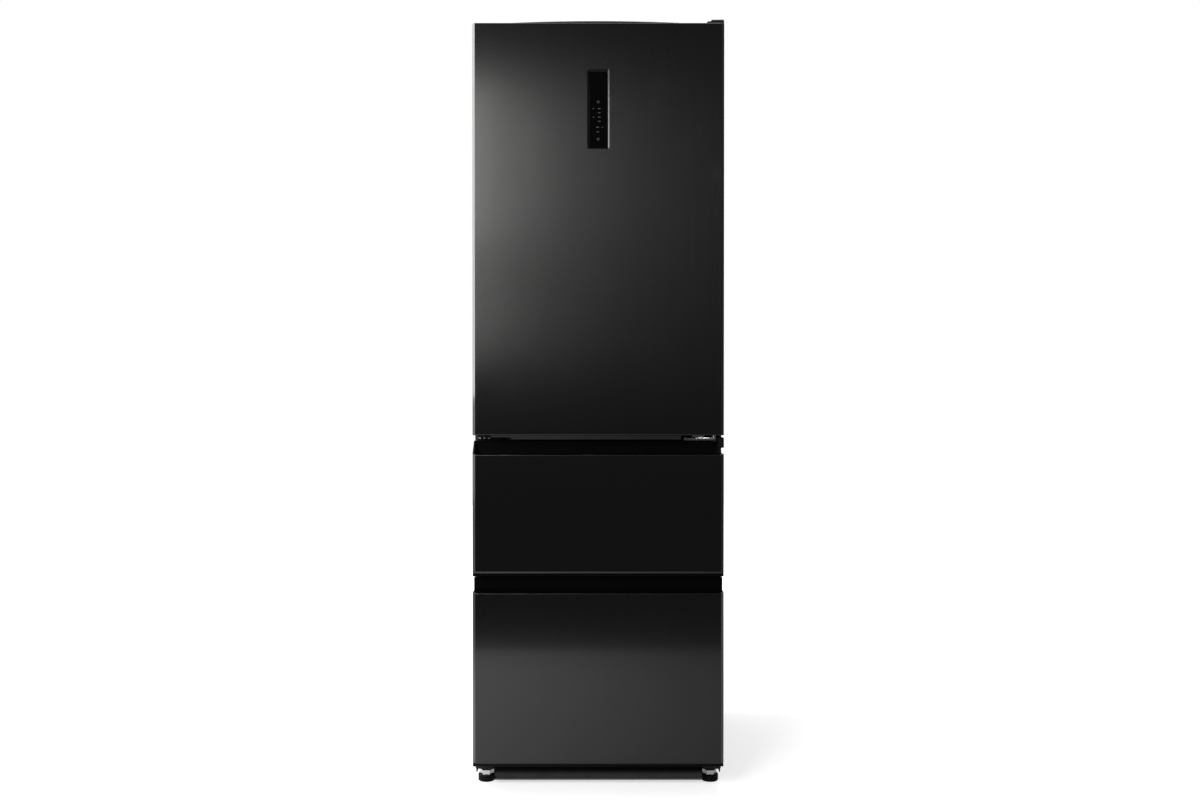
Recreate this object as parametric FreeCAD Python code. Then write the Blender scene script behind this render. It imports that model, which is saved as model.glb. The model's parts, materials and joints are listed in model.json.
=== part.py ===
import FreeCAD, Part
import math
import os

Vector = FreeCAD.Vector

# Overall size, front face to machine cover
WIDTH = 600.0
DEPTH = 650.0
COVER_BULGE = 7.0
FIT = 0.2

# Stack of front pieces, from the floor up
BASE_Z = 40.0
LOWER_FACE_Z = 74.0
LOWER_FACE_H = 408.0
GRIP_H = 30.0
DRAWER_GAP = 9.0
DRAWER_CAP_H = 7.0
UPPER_FACE_H = 284.0
DOOR_GAP = 5.0
DOOR_CAP_H = 10.0
DOOR_H = 977.0
DOOR_TOP_GAP = 2.0
HINGE_COVER_H = 14.0

# Steel skins and plastic caps of the fronts
FRONT_T = 58.0
SEAL_GAP = 10.0
SKIN_T = 1.0
SKIN_D = 50.0
CHAMFER_W = 7.5
CHAMFER_D = 12.0
SIDE_R = 6.0
EDGE_R = 3.0
HEM_MARGIN = 4.0
CAP_SETBACK = 4.0
CAP_PLUG = 16.0
CROWN_RISE = 5.0
CROWN_LEFT = 223.0
CROWN_RIGHT = 214.0
STRIP_HINGE_GAP = 81.0
STRIP_FREE_GAP = 44.0
STRIP_NOTCH = 48.0

# Recessed grip along the top of each drawer front
GRIP_D = 42.0
GRIP_DROP = 22.0
GRIP_T = 3.0
GRIP_R = 10.0
GRIP_END_T = 4.0

# Door seals
GASKET_INSET = 6.0
GASKET_W = 14.0
GASKET_BASE_W = 7.0
GASKET_BASE_T = 4.0
GASKET_PLAY = 0.5
RAIL_MARGIN = 4.0

# Cabinet shell, liners and foam
SHEET = 1.2
CASE_R = 6.0
WALL = 45.0
TOP_WALL = 50.0
BACK_WALL = 55.0
LINER_T = 2.0
LINER_R = 14.0
RAIL_RETURN = 18.0
BACK_BEAD_W = 7.0
BACK_BEAD_D = 3.5
BACK_BEAD_PITCH = 110.0

# Hinges on the right-hand side
HINGE_INSET = 22.0
HINGE_SETBACK = 33.0
HINGE_SEAL_GAP = 2.0
PIN_R = 4.0
PIN_PLAY = 0.06
PIN_GRIP = 18.0
BUSH_W = 14.0
HINGE_PLATE_T = 3.0
HINGE_PLATE_W = 36.0
HINGE_NOSE = 14.0
HINGE_TAIL = 78.0
HINGE_COVER_T = 2.0
HINGE_COVER_R = 11.0
LEAF_DROP = 6.0
LEAF_W = 56.0
FLANGE_W = 76.0
FLANGE_GAP = 1.5
SCREW_R = 4.0
SCREW_H = 2.0
SCREW_PITCH = 24.0
END_COVER_W = 14.0
END_COVER_DROP = 20.0

# Control display in the door
DISPLAY_W = 52.0
DISPLAY_H = 188.0
DISPLAY_TOP = 110.0
DISPLAY_BEVEL = 4.0
DISPLAY_SINK = 3.0
DISPLAY_R = 4.0
LENS_T = 2.0
BEZEL_T = 9.0
BEZEL_RIM = 6.0

# Inner door panel and its bins
DIKE_D = 48.0
DIKE_T = 16.0
DIKE_GAP = 15.0
DIKE_R = 12.0
BIN_WALL = 2.5
BIN_R = 22.0
DOOR_BIN_D = 96.0
DOOR_BIN_H = 92.0
DOOR_BIN_FIRST = 215.0
DOOR_BIN_PITCH = 235.0
DOOR_BIN_COUNT = 3
BIN_LUG_W = 10.0
BIN_LUG_H = 24.0

# Fridge compartment
SHELF_T = 4.0
SHELF_SETBACK = 112.0
SHELF_FIRST = 225.0
SHELF_PITCH = 178.0
SHELF_COUNT = 4
SHELF_SIDE_GAP = 1.5
LEDGE_W = 9.0
LEDGE_H = 8.0
TRIM_D = 16.0
TRIM_H = 12.0
DUCT_W = 230.0
DUCT_D = 22.0
DUCT_END_GAP = 24.0
DUCT_T = 2.5
SLOT_W = 62.0
SLOT_H = 9.0
LAMP_W = 300.0
LAMP_D = 34.0
LAMP_H = 9.0
CRISPER_DROP = 22.0
CRISPER_FLANGE = 8.0
CRISPER_FLOOR_GAP = 6.0

# Drawer bins and telescopic slides
SLIDE_H = 46.0
SLIDE_T = 1.5
SLIDE_GAP = 0.6
SLIDE_W = 12.0
SLIDE_LEN = 400.0
SLIDE_SETBACK = 12.0
SLIDE_LEDGE = 8.0
UPPER_SLIDE_RISE = 120.0
LOWER_SLIDE_RISE = 40.0
BIN_FLOOR_GAP = 12.0
BIN_HEAD_GAP = 34.0
BIN_BACK_GAP = 14.0
BIN_RIM = 6.0
LOWER_BIN_REAR = 110.0

# Cooling pieces
MACHINE_D = 198.0
MACHINE_H = 205.0
EVAP_SPACE = 78.0
EVAP_COVER_T = 4.0
EVAP_W = 400.0
EVAP_H = 130.0
EVAP_D = 52.0
EVAP_FINS = 9
FAN_R = 46.0
FAN_HUB_R = 15.0
FAN_BLADES = 6
FAN_D = 18.0
BLADE_T = 2.0
BLADE_PITCH = 32.0
FAN_RIM_GAP = 4.0
SHAFT_R = 3.0
MOTOR_R = 20.0
MOTOR_L = 22.0
COMPRESSOR_R = 68.0
COMPRESSOR_H = 138.0
COMPRESSOR_INSET = 160.0
MOUNT_H = 14.0
CONDENSER_L = 170.0
CONDENSER_H = 120.0
CONDENSER_D = 90.0
CONDENSER_FINS = 8
TRAY_H = 24.0
TRAY_W = 170.0
TRAY_T = 2.0
LOUVRES = 8
LOUVRE_W = 150.0
LOUVRE_H = 7.0
GROMMET_R = 9.0
GROMMET_BORE_R = 4.5

# Feet, rollers and toe plate
FOOT_INSET = 24.0
FOOT_SETBACK = 36.0
PAD_R = 21.0
PAD_H = 15.0
COLLAR_R = 17.0
COLLAR_H = 12.0
STUD_R = 5.0
STUD_TOP = 18.0
STUD_POCKET = 8.0
BRACKET_T = 3.0
BRACKET_L = 66.0
BRACKET_W = 56.0
BRACKET_FLANGE = 10.0
ROLLER_R = 18.0
ROLLER_W = 16.0
ROLLER_INSET = 62.0
ROLLER_REAR = 36.0
ROLLER_PLAY = 0.5
AXLE_R = 4.0
KICK_T = 2.5
KICK_TOP_GAP = 6.0
KICK_FLOOR_GAP = 11.0
KICK_TUCK = 15.0

# Planes and levels worked out from the sizes above
HALF = WIDTH / 2
FACE_Y = -DEPTH / 2
SKIN_Y = FACE_Y + SKIN_D
RIM_Y = FACE_Y + FRONT_T
CASE_Y0 = RIM_Y + SEAL_GAP
CASE_Y1 = DEPTH / 2 - COVER_BULGE
HEM = CHAMFER_D + HEM_MARGIN
CAP_LOW = LOWER_FACE_Z - DRAWER_CAP_H
LIP_LOW = LOWER_FACE_Z + LOWER_FACE_H
TOP_LOW = LIP_LOW + GRIP_H
CAP_UP = TOP_LOW + DRAWER_GAP
FACE_UP = CAP_UP + DRAWER_CAP_H
LIP_UP = FACE_UP + UPPER_FACE_H
TOP_UP = LIP_UP + GRIP_H
DOOR_CAP_Z = TOP_UP + DOOR_GAP
DOOR_Z0 = DOOR_CAP_Z + DOOR_CAP_H
DOOR_Z1 = DOOR_Z0 + DOOR_H
CASE_TOP = DOOR_Z1 + DOOR_TOP_GAP
SEAL_REACH = GASKET_INSET + GASKET_W + RAIL_MARGIN
BASE_RAIL_Z = CAP_LOW + SEAL_REACH
LOWER_RAIL = (TOP_LOW - SEAL_REACH, CAP_UP + SEAL_REACH)
UPPER_RAIL = (TOP_UP - SEAL_REACH, DOOR_Z0 + SEAL_REACH)
CAVITY_X = HALF - WALL
CAVITY_Y1 = CASE_Y1 - BACK_WALL
LOWER_Z = (BASE_RAIL_Z + LINER_T, LOWER_RAIL[0] - LINER_T)
UPPER_Z = (LOWER_RAIL[1] + LINER_T, UPPER_RAIL[0] - LINER_T)
FRIDGE_Z = (UPPER_RAIL[1] + LINER_T, CASE_TOP - TOP_WALL)
MACHINE_Y = CASE_Y1 - MACHINE_D
MACHINE_TOP = BASE_Z + MACHINE_H
STEP_Y = MACHINE_Y - WALL
STEP_Z = MACHINE_TOP + WALL
HINGE_X = HALF - HINGE_INSET
HINGE_Y = FACE_Y + HINGE_SETBACK
SEAL_X = HINGE_X - HINGE_SEAL_GAP
LEAF_Z = DOOR_Z0 - LEAF_DROP
FLANGE_Z = (TOP_UP - GASKET_INSET + FLANGE_GAP, DOOR_Z0 + GASKET_INSET - FLANGE_GAP)
INNER_X = HALF - SKIN_T - FIT
SHELF_Y0 = CASE_Y0 + SHELF_SETBACK
SHELF_Y1 = CAVITY_Y1 - DUCT_D - TRIM_D / 2
SHELF_LEVELS = [FRIDGE_Z[0] + SHELF_FIRST + i * SHELF_PITCH for i in range(SHELF_COUNT)]
CRISPER_Z = SHELF_LEVELS[0] - CRISPER_DROP
EVAP_COVER_Y = CAVITY_Y1 - EVAP_SPACE
UPPER_SLIDE_Z = UPPER_Z[0] + UPPER_SLIDE_RISE
LOWER_SLIDE_Z = STEP_Z + LOWER_SLIDE_RISE
SLIDE_Y = CASE_Y0 + SLIDE_SETBACK
BIN_X = CAVITY_X - SLIDE_W - SLIDE_LEDGE - FIT
FOOT_X = HALF - FOOT_INSET
FOOT_Y = CASE_Y0 + FOOT_SETBACK
ROLLER_X = HALF - ROLLER_INSET
ROLLER_Y = CASE_Y1 - ROLLER_REAR
MACHINE_MID_Y = MACHINE_Y + MACHINE_D / 2
COMPRESSOR_X = COMPRESSOR_INSET - HALF

ORIGIN = Vector(0, 0, 0)
AXES = {"x": Vector(1, 0, 0), "y": Vector(0, 1, 0), "z": Vector(0, 0, 1)}


# Drawing helpers
def in_space(u, v, axis, at):
    """Point of a flat outline that lies across the given axis."""
    if axis == "x":
        return Vector(at, u, v)
    if axis == "y":
        return Vector(u, at, v)
    return Vector(u, v, at)


def rounded_face(corners, axis, at):
    """Flat face through (u, v) or (u, v, radius) corners, rounded where a radius is given."""
    points = [in_space(c[0], c[1], axis, at) for c in corners]
    radii = [c[2] if len(c) > 2 else 0.0 for c in corners]
    starts, ends, middles = [], [], []
    for i, corner in enumerate(points):
        to_last = (points[i - 1] - corner).normalize()
        to_next = (points[(i + 1) % len(points)] - corner).normalize()
        half_angle = to_last.getAngle(to_next) / 2
        reach = radii[i] / math.tan(half_angle)
        starts.append(corner + to_last * reach)
        ends.append(corner + to_next * reach)
        inward = to_last + to_next
        if radii[i] > 0:
            inward.normalize()
        middles.append(corner + inward * (radii[i] / math.sin(half_angle) - radii[i]))
    edges = []
    for i in range(len(points)):
        if radii[i] > 0:
            edges.append(Part.Arc(starts[i], middles[i], ends[i]).toShape())
        following = starts[(i + 1) % len(points)]
        if ends[i].distanceToPoint(following) > 1e-6:
            edges.append(Part.LineSegment(ends[i], following).toShape())
    return Part.Face(Part.Wire(edges))


def prism(corners, axis, low, high):
    """Outline pushed along an axis from low to high."""
    return rounded_face(corners, axis, low).extrude(AXES[axis] * (high - low))


def box(x0, x1, y0, y1, z0, z1):
    """Block between two corners."""
    return Part.makeBox(x1 - x0, y1 - y0, z1 - z0, Vector(x0, y0, z0))


def rectangle(u0, u1, v0, v1, radius=0.0):
    """Corners of a rectangle with one corner radius."""
    return [(u0, v0, radius), (u1, v0, radius), (u1, v1, radius), (u0, v1, radius)]


def rod(radius, start, axis, length):
    """Round bar from a start point along an axis."""
    return Part.makeCylinder(radius, length, start, AXES[axis])


def hexagon(radius, start, axis, length):
    """Six-sided bar from a start point along an axis."""
    angles = [math.radians(60 * i) for i in range(6)]
    points = [(radius * math.cos(angle), radius * math.sin(angle)) for angle in angles]
    bar = prism(points, axis, 0, length)
    bar.translate(start)
    return bar


def mirrored(shape):
    """Copy on the other side of the middle plane."""
    return shape.mirror(ORIGIN, AXES["x"])


def pair(shape):
    """A piece and its mirror image as two solids."""
    return group([shape, mirrored(shape)])


def group(shapes):
    """Separate solids kept in one node."""
    solids = [solid for shape in shapes for solid in shape.Solids]
    return Part.makeCompound(solids)


def joined(shapes):
    """Shapes fused into one solid with clean faces."""
    return shapes[0].fuse(shapes[1:]).removeSplitter()


def frame_ring(half_x, z0, z1, width, y0, y1):
    """Rectangular ring in the front plane."""
    outer = box(-half_x, half_x, y0, y1, z0, z1)
    return outer.cut(box(-half_x + width, half_x - width, y0, y1, z0 + width, z1 - width))


# Fronts: steel skin, caps, foam and seal
def front_plan(inset, y_back):
    """Plan outline of a front with chamfered vertical edges, drawn in by an inset."""
    slope = math.hypot(CHAMFER_W, CHAMFER_D)
    side_x = HALF - inset
    side_y = FACE_Y + CHAMFER_D + inset * (slope - CHAMFER_D) / CHAMFER_W
    face_x = HALF - CHAMFER_W - inset * (slope - CHAMFER_W) / CHAMFER_D
    face_y = FACE_Y + inset
    radius = SIDE_R - inset
    return [
        (-side_x, y_back), (-side_x, side_y, radius), (-face_x, face_y),
        (face_x, face_y), (side_x, side_y, radius), (side_x, y_back),
    ]


def front_block(inset, z0, z1, y_back, radius):
    """Front with chamfered sides and rounded top and bottom edges."""
    face_y = FACE_Y + inset
    side = [(y_back, z0), (face_y, z0, radius), (face_y, z1, radius), (y_back, z1)]
    return prism(front_plan(inset, y_back), "z", z0, z1).common(prism(side, "x", -HALF, HALF))


def front_skin(z0, z1):
    """Folded steel skin: face, sides and short hems at top and bottom."""
    outer = front_block(0, z0, z1, SKIN_Y, EDGE_R)
    hollow = front_block(SKIN_T, z0 + SKIN_T, z1 - SKIN_T, SKIN_Y, EDGE_R - SKIN_T)
    inside = HALF - SKIN_T
    return outer.cut(hollow).cut(box(-inside, inside, FACE_Y + HEM, SKIN_Y, z0, z1))


def bottom_cap(z0, z1, low_x, high_x):
    """Plastic cap under a front: a plug behind the hem and a strip below it."""
    y0 = FACE_Y + HEM + FIT
    plug = box(-INNER_X, INNER_X, y0, SKIN_Y, z1, z1 + CAP_PLUG)
    strip = box(low_x, high_x, FACE_Y + CAP_SETBACK, SKIN_Y, z0, z1)
    return joined([plug, strip])


def front_foam(corners):
    """Foam that fills a front behind its skin, from a side outline."""
    return prism(corners, "x", -HALF, HALF).common(
        prism(front_plan(SKIN_T + FIT, SKIN_Y), "z", 0, CASE_TOP))


def panel_plan():
    """Plan outline of an inner panel, rounded at the rear so that it clears the hinge."""
    return [(-INNER_X, SKIN_Y), (INNER_X, SKIN_Y), (INNER_X, RIM_Y, SIDE_R), (-INNER_X, RIM_Y, SIDE_R)]


def seal(z0, z1):
    """Magnetic seal: a narrow root on the panel and a wide bulb towards the cabinet."""
    root_y = RIM_Y + GASKET_BASE_T
    shift = (GASKET_W - GASKET_BASE_W) / 2
    low, high = z0 + GASKET_INSET, z1 - GASKET_INSET
    root = frame_ring(SEAL_X - shift, low + shift, high - shift, GASKET_BASE_W, RIM_Y, root_y)
    bulb = frame_ring(SEAL_X, low, high, GASKET_W, root_y, CASE_Y0 - GASKET_PLAY)
    return joined([root, bulb])


# Refrigerator door
def display_outline(grow, radius=0.0):
    """Outline of the display opening, grown on every side."""
    top = DOOR_Z1 - DISPLAY_TOP
    half = DISPLAY_W / 2 + grow
    return rectangle(-half, half, top - DISPLAY_H - grow, top + grow, radius)


def door_skin():
    """Door skin with the window for the display."""
    window = prism(display_outline(0, DISPLAY_R), "y", FACE_Y, FACE_Y + HEM)
    return front_skin(DOOR_Z0, DOOR_Z1).cut(window)


def display_bezel():
    """Frame behind the window with sloping inner faces and a clamping rim."""
    back = FACE_Y + SKIN_T + BEZEL_T
    rim = prism(display_outline(BEZEL_RIM), "y", FACE_Y + SKIN_T, back)
    throat = Part.makeLoft([
        rounded_face(display_outline(0), "y", FACE_Y + SKIN_T).OuterWire,
        rounded_face(display_outline(-DISPLAY_BEVEL), "y", FACE_Y + SKIN_T + DISPLAY_SINK).OuterWire,
    ], True, True)
    seat = prism(display_outline(-DISPLAY_BEVEL), "y", FACE_Y + SKIN_T, back)
    return rim.cut(throat).cut(seat)


def display_lens():
    """Dark glass pane at the bottom of the bezel."""
    y0 = FACE_Y + SKIN_T + DISPLAY_SINK
    return prism(display_outline(-DISPLAY_BEVEL - FIT), "y", y0, y0 + LENS_T)


def door_top_cap():
    """Plug behind the top hem with a low crown that shows over the door's top edge."""
    y0 = FACE_Y + HEM + FIT
    plug = box(-INNER_X, INNER_X, y0, SKIN_Y, DOOR_Z1 - CAP_PLUG, DOOR_Z1)
    left, right = Vector(-CROWN_LEFT, 0, DOOR_Z1), Vector(CROWN_RIGHT, 0, DOOR_Z1)
    middle = (left + right) * 0.5 + Vector(0, 0, CROWN_RISE)
    outline = Part.Wire([
        Part.Arc(left, middle, right).toShape(), Part.LineSegment(right, left).toShape()])
    crown = Part.Face(outline).extrude(Vector(0, SKIN_D - CAP_SETBACK, 0))
    crown.translate(Vector(0, FACE_Y + CAP_SETBACK, 0))
    return joined([plug, crown]).cut(bush_block(DOOR_Z1, FIT / 2))


def door_bottom_cap():
    """Bottom cap, cut away over the hinge and half cut away at the free corner."""
    low_x = -HALF + STRIP_FREE_GAP
    cap = bottom_cap(DOOR_CAP_Z, DOOR_Z0, low_x, HINGE_X - STRIP_HINGE_GAP)
    notch = box(low_x, low_x + STRIP_NOTCH, FACE_Y, SKIN_Y, DOOR_CAP_Z, DOOR_CAP_Z + DOOR_CAP_H / 2)
    return cap.cut(notch).cut(bush_block(DOOR_Z0 + CAP_PLUG, FIT / 2))


def bush_block(top, play):
    """Square nylon block round a hinge pin, or its pocket when given play."""
    half = BUSH_W / 2 + play
    return box(HINGE_X - half, HINGE_X + half, HINGE_Y - half, HINGE_Y + half, top - CAP_PLUG, top)


def hinge_bushes():
    """Square nylon bushes in the two caps, bored for the hinge pins."""
    pieces = []
    for top in (DOOR_Z1, DOOR_Z0 + CAP_PLUG):
        bore = rod(PIN_R + PIN_PLAY, Vector(HINGE_X, HINGE_Y, top - CAP_PLUG), "z", CAP_PLUG)
        pieces.append(bush_block(top, 0).cut(bore))
    return group(pieces)


def dike_half():
    """Half width of the raised border on the inner door panel."""
    return CAVITY_X - DIKE_GAP


def door_liner():
    """Inner panel and the four bars of its deep raised border, which hold the bins."""
    plate = prism(panel_plan(), "z", DOOR_Z0, DOOR_Z1)
    half, inner = dike_half(), dike_half() - DIKE_T
    y0, y1 = RIM_Y, RIM_Y + DIKE_D
    z0, z1 = FRIDGE_Z[0] + DIKE_GAP, FRIDGE_Z[1] - DIKE_GAP
    side = prism([(inner, z0), (half, z0, DIKE_R), (half, z1, DIKE_R), (inner, z1)], "y", y0, y1)
    for z in door_bin_levels():
        side = side.cut(bin_lug(z, FIT))
    bars = [box(-inner, inner, y0, y1, low, low + DIKE_T) for low in (z0, z1 - DIKE_T)]
    return group([plate, pair(side)] + bars)


def door_bin_levels():
    """Floor heights of the door bins."""
    return [FRIDGE_Z[0] + DOOR_BIN_FIRST + i * DOOR_BIN_PITCH for i in range(DOOR_BIN_COUNT)]


def bin_lug(z, play):
    """Lug on a bin's right side, or its socket in the border when given play."""
    x0 = dike_half() - DIKE_T - FIT
    y0 = RIM_Y + DIKE_D / 2 - BIN_LUG_W / 2
    return box(x0 - SKIN_T, x0 + BIN_LUG_W / 2 + play, y0 - play, y0 + BIN_LUG_W + play,
               z + BIN_LUG_H - play, z + 2 * BIN_LUG_H + play)


def open_tub(profile, plan, wall_profile, wall_plan, half_x, z0, z1):
    """Open-topped tub: side outline met with plan outline, less the same drawn in by the wall."""
    outer = prism(profile, "x", -half_x, half_x).common(prism(plan, "z", z0, z1))
    inner = prism(wall_profile, "x", -half_x, half_x).common(prism(wall_plan, "z", z0, z1))
    return outer.cut(inner)


def bin_plan(half_x, y0, y1, radius):
    """Plan outline of a bin: square where it meets its front panel, rounded at the far side."""
    return [(-half_x, y0), (half_x, y0), (half_x, y1, radius), (-half_x, y1, radius)]


def straight_tub(half_x, y0, y1, z0, z1):
    """Open-topped box, square at the near end and rounded at the far end."""
    t = BIN_WALL
    outer = prism(bin_plan(half_x, y0, y1, BIN_R), "z", z0, z1)
    return outer.cut(prism(bin_plan(half_x - t, y0 + t, y1 - t, BIN_R - t), "z", z0 + t, z1))


def door_bins():
    """Clear bins hung between the borders by side lugs."""
    half = dike_half() - DIKE_T - FIT
    pieces = []
    for z in door_bin_levels():
        tub = straight_tub(half, RIM_Y + FIT, RIM_Y + DOOR_BIN_D, z, z + DOOR_BIN_H)
        lug = bin_lug(z, 0)
        pieces.append(joined([tub, lug, mirrored(lug)]))
    return group(pieces)


def build_door():
    """All pieces that swing with the door."""
    foam = front_foam(rectangle(
        FACE_Y + SKIN_T + FIT, SKIN_Y, DOOR_Z0 + CAP_PLUG, DOOR_Z1 - CAP_PLUG))
    pocket = prism(display_outline(BEZEL_RIM + FIT), "y", FACE_Y, FACE_Y + SKIN_T + BEZEL_T)
    return {
        "door_skin": door_skin(),
        "door_top_cap": door_top_cap(),
        "door_bottom_cap": door_bottom_cap(),
        "hinge_bushes": hinge_bushes(),
        "door_foam": foam.cut(pocket),
        "display_bezel": display_bezel(),
        "display_lens": display_lens(),
        "door_liner": door_liner(),
        "door_bins": door_bins(),
        "door_gasket": seal(DOOR_Z0, DOOR_Z1),
    }


# Freezer drawers
def grip_wall(lip, top):
    """Outline of the grip moulding: channel behind the lip, rear wall and top shelf."""
    y_lip, y_rear, y_back = FACE_Y + HEM, FACE_Y + GRIP_D, SKIN_Y
    floor, under_lip = lip - GRIP_DROP, lip - SKIN_T - FIT
    inner_r = GRIP_R - GRIP_T
    return [
        (y_lip, under_lip), (y_lip, floor, inner_r), (y_rear, floor, inner_r), (y_rear, top, SKIN_T),
        (y_back, top), (y_back, top - GRIP_T), (y_rear + GRIP_T, top - GRIP_T),
        (y_rear + GRIP_T, floor - GRIP_T, GRIP_R), (y_lip - GRIP_T, floor - GRIP_T, GRIP_R),
        (y_lip - GRIP_T, under_lip),
    ]


def drawer_grip(lip, top, hinge_relief):
    """Grip moulding with end walls, one of them cut short where a hinge hangs over it."""
    wall = prism(grip_wall(lip, top), "x", -INNER_X, INNER_X)
    y_rear = FACE_Y + GRIP_D
    end = box(-HALF, -INNER_X + GRIP_END_T, y_rear, SKIN_Y, lip + FIT, top)
    if not hinge_relief:
        return joined([wall, end, mirrored(end)])
    cheek = prism([(FACE_Y + CHAMFER_D, lip + FIT), (y_rear, top), (y_rear, lip + FIT)],
                  "x", -HALF, -INNER_X + GRIP_END_T)
    relief = box(HALF - END_COVER_W - 2 * HINGE_SEAL_GAP, HALF, FACE_Y, SKIN_Y,
                 lip + FIT, top)
    return joined([wall, end, cheek]).cut(relief)


def drawer_foam(face, lip, top):
    """Foam core below and behind the grip channel."""
    channel = lip - GRIP_DROP - GRIP_T - FIT
    rear = FACE_Y + GRIP_D + GRIP_T + FIT
    return front_foam([
        (FACE_Y + SKIN_T + FIT, face + CAP_PLUG), (SKIN_Y, face + CAP_PLUG),
        (SKIN_Y, lip - FIT), (rear, lip - FIT), (rear, channel), (FACE_Y + SKIN_T + FIT, channel)])


def drawer_panel(cap, top, hinge_relief):
    """Inner panel of a drawer front with a raised field that carries the bin."""
    plate = prism(panel_plan(), "z", cap, top)
    inset = SKIN_T + GASKET_INSET
    groove = frame_ring(SEAL_X - GASKET_W - inset, cap + SEAL_REACH, top - SEAL_REACH, inset,
                        RIM_Y - GRIP_T, RIM_Y)
    panel = plate.cut(groove)
    if hinge_relief:
        panel = panel.cut(box(HALF - END_COVER_W - 2 * HINGE_SEAL_GAP, HALF, SKIN_Y, RIM_Y,
                              top - GRIP_H + FIT, top))
    return panel


def slide_member(step, z, y0, y1):
    """One channel of a telescopic slide on the right wall; step 0 is the outermost."""
    inset = step * (SLIDE_T + SLIDE_GAP)
    web, inner = CAVITY_X - inset, CAVITY_X - SLIDE_W
    low, high = z - SLIDE_H / 2 + inset, z + SLIDE_H / 2 - inset
    t = SLIDE_T
    return prism([
        (web, low), (web, high), (inner, high), (inner, high - t),
        (web - t, high - t), (web - t, low + t), (inner, low + t), (inner, low)], "y", y0, y1)


def drawer_rails(z):
    """Inner slide members that reach forward to the panel, with a ledge under the bin's flange."""
    member = slide_member(2, z, RIM_Y, SLIDE_Y + SLIDE_LEN)
    high = ledge_top(z)
    ledge = box(CAVITY_X - SLIDE_W - SLIDE_LEDGE, CAVITY_X - SLIDE_W, RIM_Y, SLIDE_Y + SLIDE_LEN,
                high - SLIDE_T, high)
    return pair(joined([member, ledge]))


def ledge_top(z):
    """Level on which a bin's side flange rests."""
    return z + SLIDE_H / 2 - 2 * (SLIDE_T + SLIDE_GAP)


def bin_flanges(y0, y1, z1, slide_z):
    """Rim round the top of a bin and the side flanges that sit on the slides."""
    t = BIN_WALL
    rim = prism(bin_plan(BIN_X + BIN_RIM, y0, y1 + BIN_RIM, BIN_R), "z", z1 - t, z1)
    mouth = prism(bin_plan(BIN_X - t, y0 + t, y1 - t, BIN_R - t), "z", z1 - t, z1)
    side = box(BIN_X - t, BIN_X + SLIDE_LEDGE, y0 + BIN_R, y1 - BIN_R,
               ledge_top(slide_z), ledge_top(slide_z) + t)
    return [rim.cut(mouth), side, mirrored(side)]


def upper_bin():
    """Upper freezer bin."""
    y0, y1 = RIM_Y + FIT, EVAP_COVER_Y - BIN_BACK_GAP - BIN_RIM
    z0, z1 = UPPER_Z[0] + BIN_FLOOR_GAP, UPPER_Z[1] - BIN_HEAD_GAP
    tub = straight_tub(BIN_X, y0, y1, z0, z1)
    return joined([tub] + bin_flanges(y0, y1, z1, UPPER_SLIDE_Z))


def stepped(y0, y1, z0, z1, step_y, step_z, grow, radius):
    """Side outline with a step over the machine space, grown or drawn in on every side."""
    return [
        (y0 - grow, z0 - grow, radius), (step_y + grow, z0 - grow, radius),
        (step_y + grow, step_z - grow, radius), (y1 + grow, step_z - grow, radius),
        (y1 + grow, z1), (y0 - grow, z1),
    ]


def lower_bin():
    """Deep lower bin, stepped over the machine space."""
    y0 = RIM_Y + FIT
    step_y = STEP_Y - BIN_BACK_GAP
    y1 = step_y + LOWER_BIN_REAR
    z0, z1 = LOWER_Z[0] + BIN_FLOOR_GAP, LOWER_Z[1] - BIN_HEAD_GAP
    step_z = STEP_Z + BIN_FLOOR_GAP
    t = BIN_WALL
    tub = open_tub(
        stepped(y0, y1, z0, z1, step_y, step_z, 0, 0),
        bin_plan(BIN_X, y0, y1, BIN_R),
        stepped(y0, y1, z0, z1, step_y, step_z, -t, 0),
        bin_plan(BIN_X - t, y0 + t, y1 - t, BIN_R - t),
        BIN_X, z0, z1)
    return joined([tub] + bin_flanges(y0, y1, z1, LOWER_SLIDE_Z))


def build_drawer(name, face, lip, top, slide_z, tub, hinge_relief):
    """All pieces that slide with one drawer, and its middle slide members."""
    cap = face - DRAWER_CAP_H
    caps = group([
        drawer_grip(lip, top, hinge_relief),
        bottom_cap(cap, face, -INNER_X, INNER_X),
    ])
    middle = slide_member(1, slide_z, SLIDE_Y, SLIDE_Y + SLIDE_LEN)
    return {
        name + "_drawer_skin": front_skin(face, lip),
        name + "_drawer_caps": caps,
        name + "_drawer_foam": drawer_foam(face, lip, top),
        name + "_drawer_panel": drawer_panel(cap, top, hinge_relief),
        name + "_drawer_gasket": seal(cap, top),
        name + "_drawer_bin": tub,
        name + "_drawer_rails": drawer_rails(slide_z),
        name + "_slides": pair(middle),
    }


# Cabinet shell
def cavity(z0, z1, grow, y_front):
    """Rounded compartment space, grown by a wall."""
    half = CAVITY_X + grow
    corners = rectangle(-half, half, z0 - grow, z1 + grow, LINER_R + grow)
    return prism(corners, "y", y_front, CAVITY_Y1 + grow)


def lower_cavity(grow, y_front):
    """Lower compartment space with its step, grown by a wall."""
    corners = stepped(y_front, CAVITY_Y1, LOWER_Z[0], LOWER_Z[1] + grow, STEP_Y, STEP_Z, grow, LINER_R)
    corners[0] = (y_front, corners[0][1])
    corners[-1] = (y_front, corners[-1][1])
    return prism(corners, "x", -CAVITY_X - grow, CAVITY_X + grow)


def side_case_outline(inset):
    """Front outline of the folded case, drawn in by an inset."""
    half, top = HALF - inset, CASE_TOP - inset
    radius = max(CASE_R - inset, SKIN_T)
    return [(-half, BASE_Z), (-half, top, radius), (half, top, radius), (half, BASE_Z)]


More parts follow.
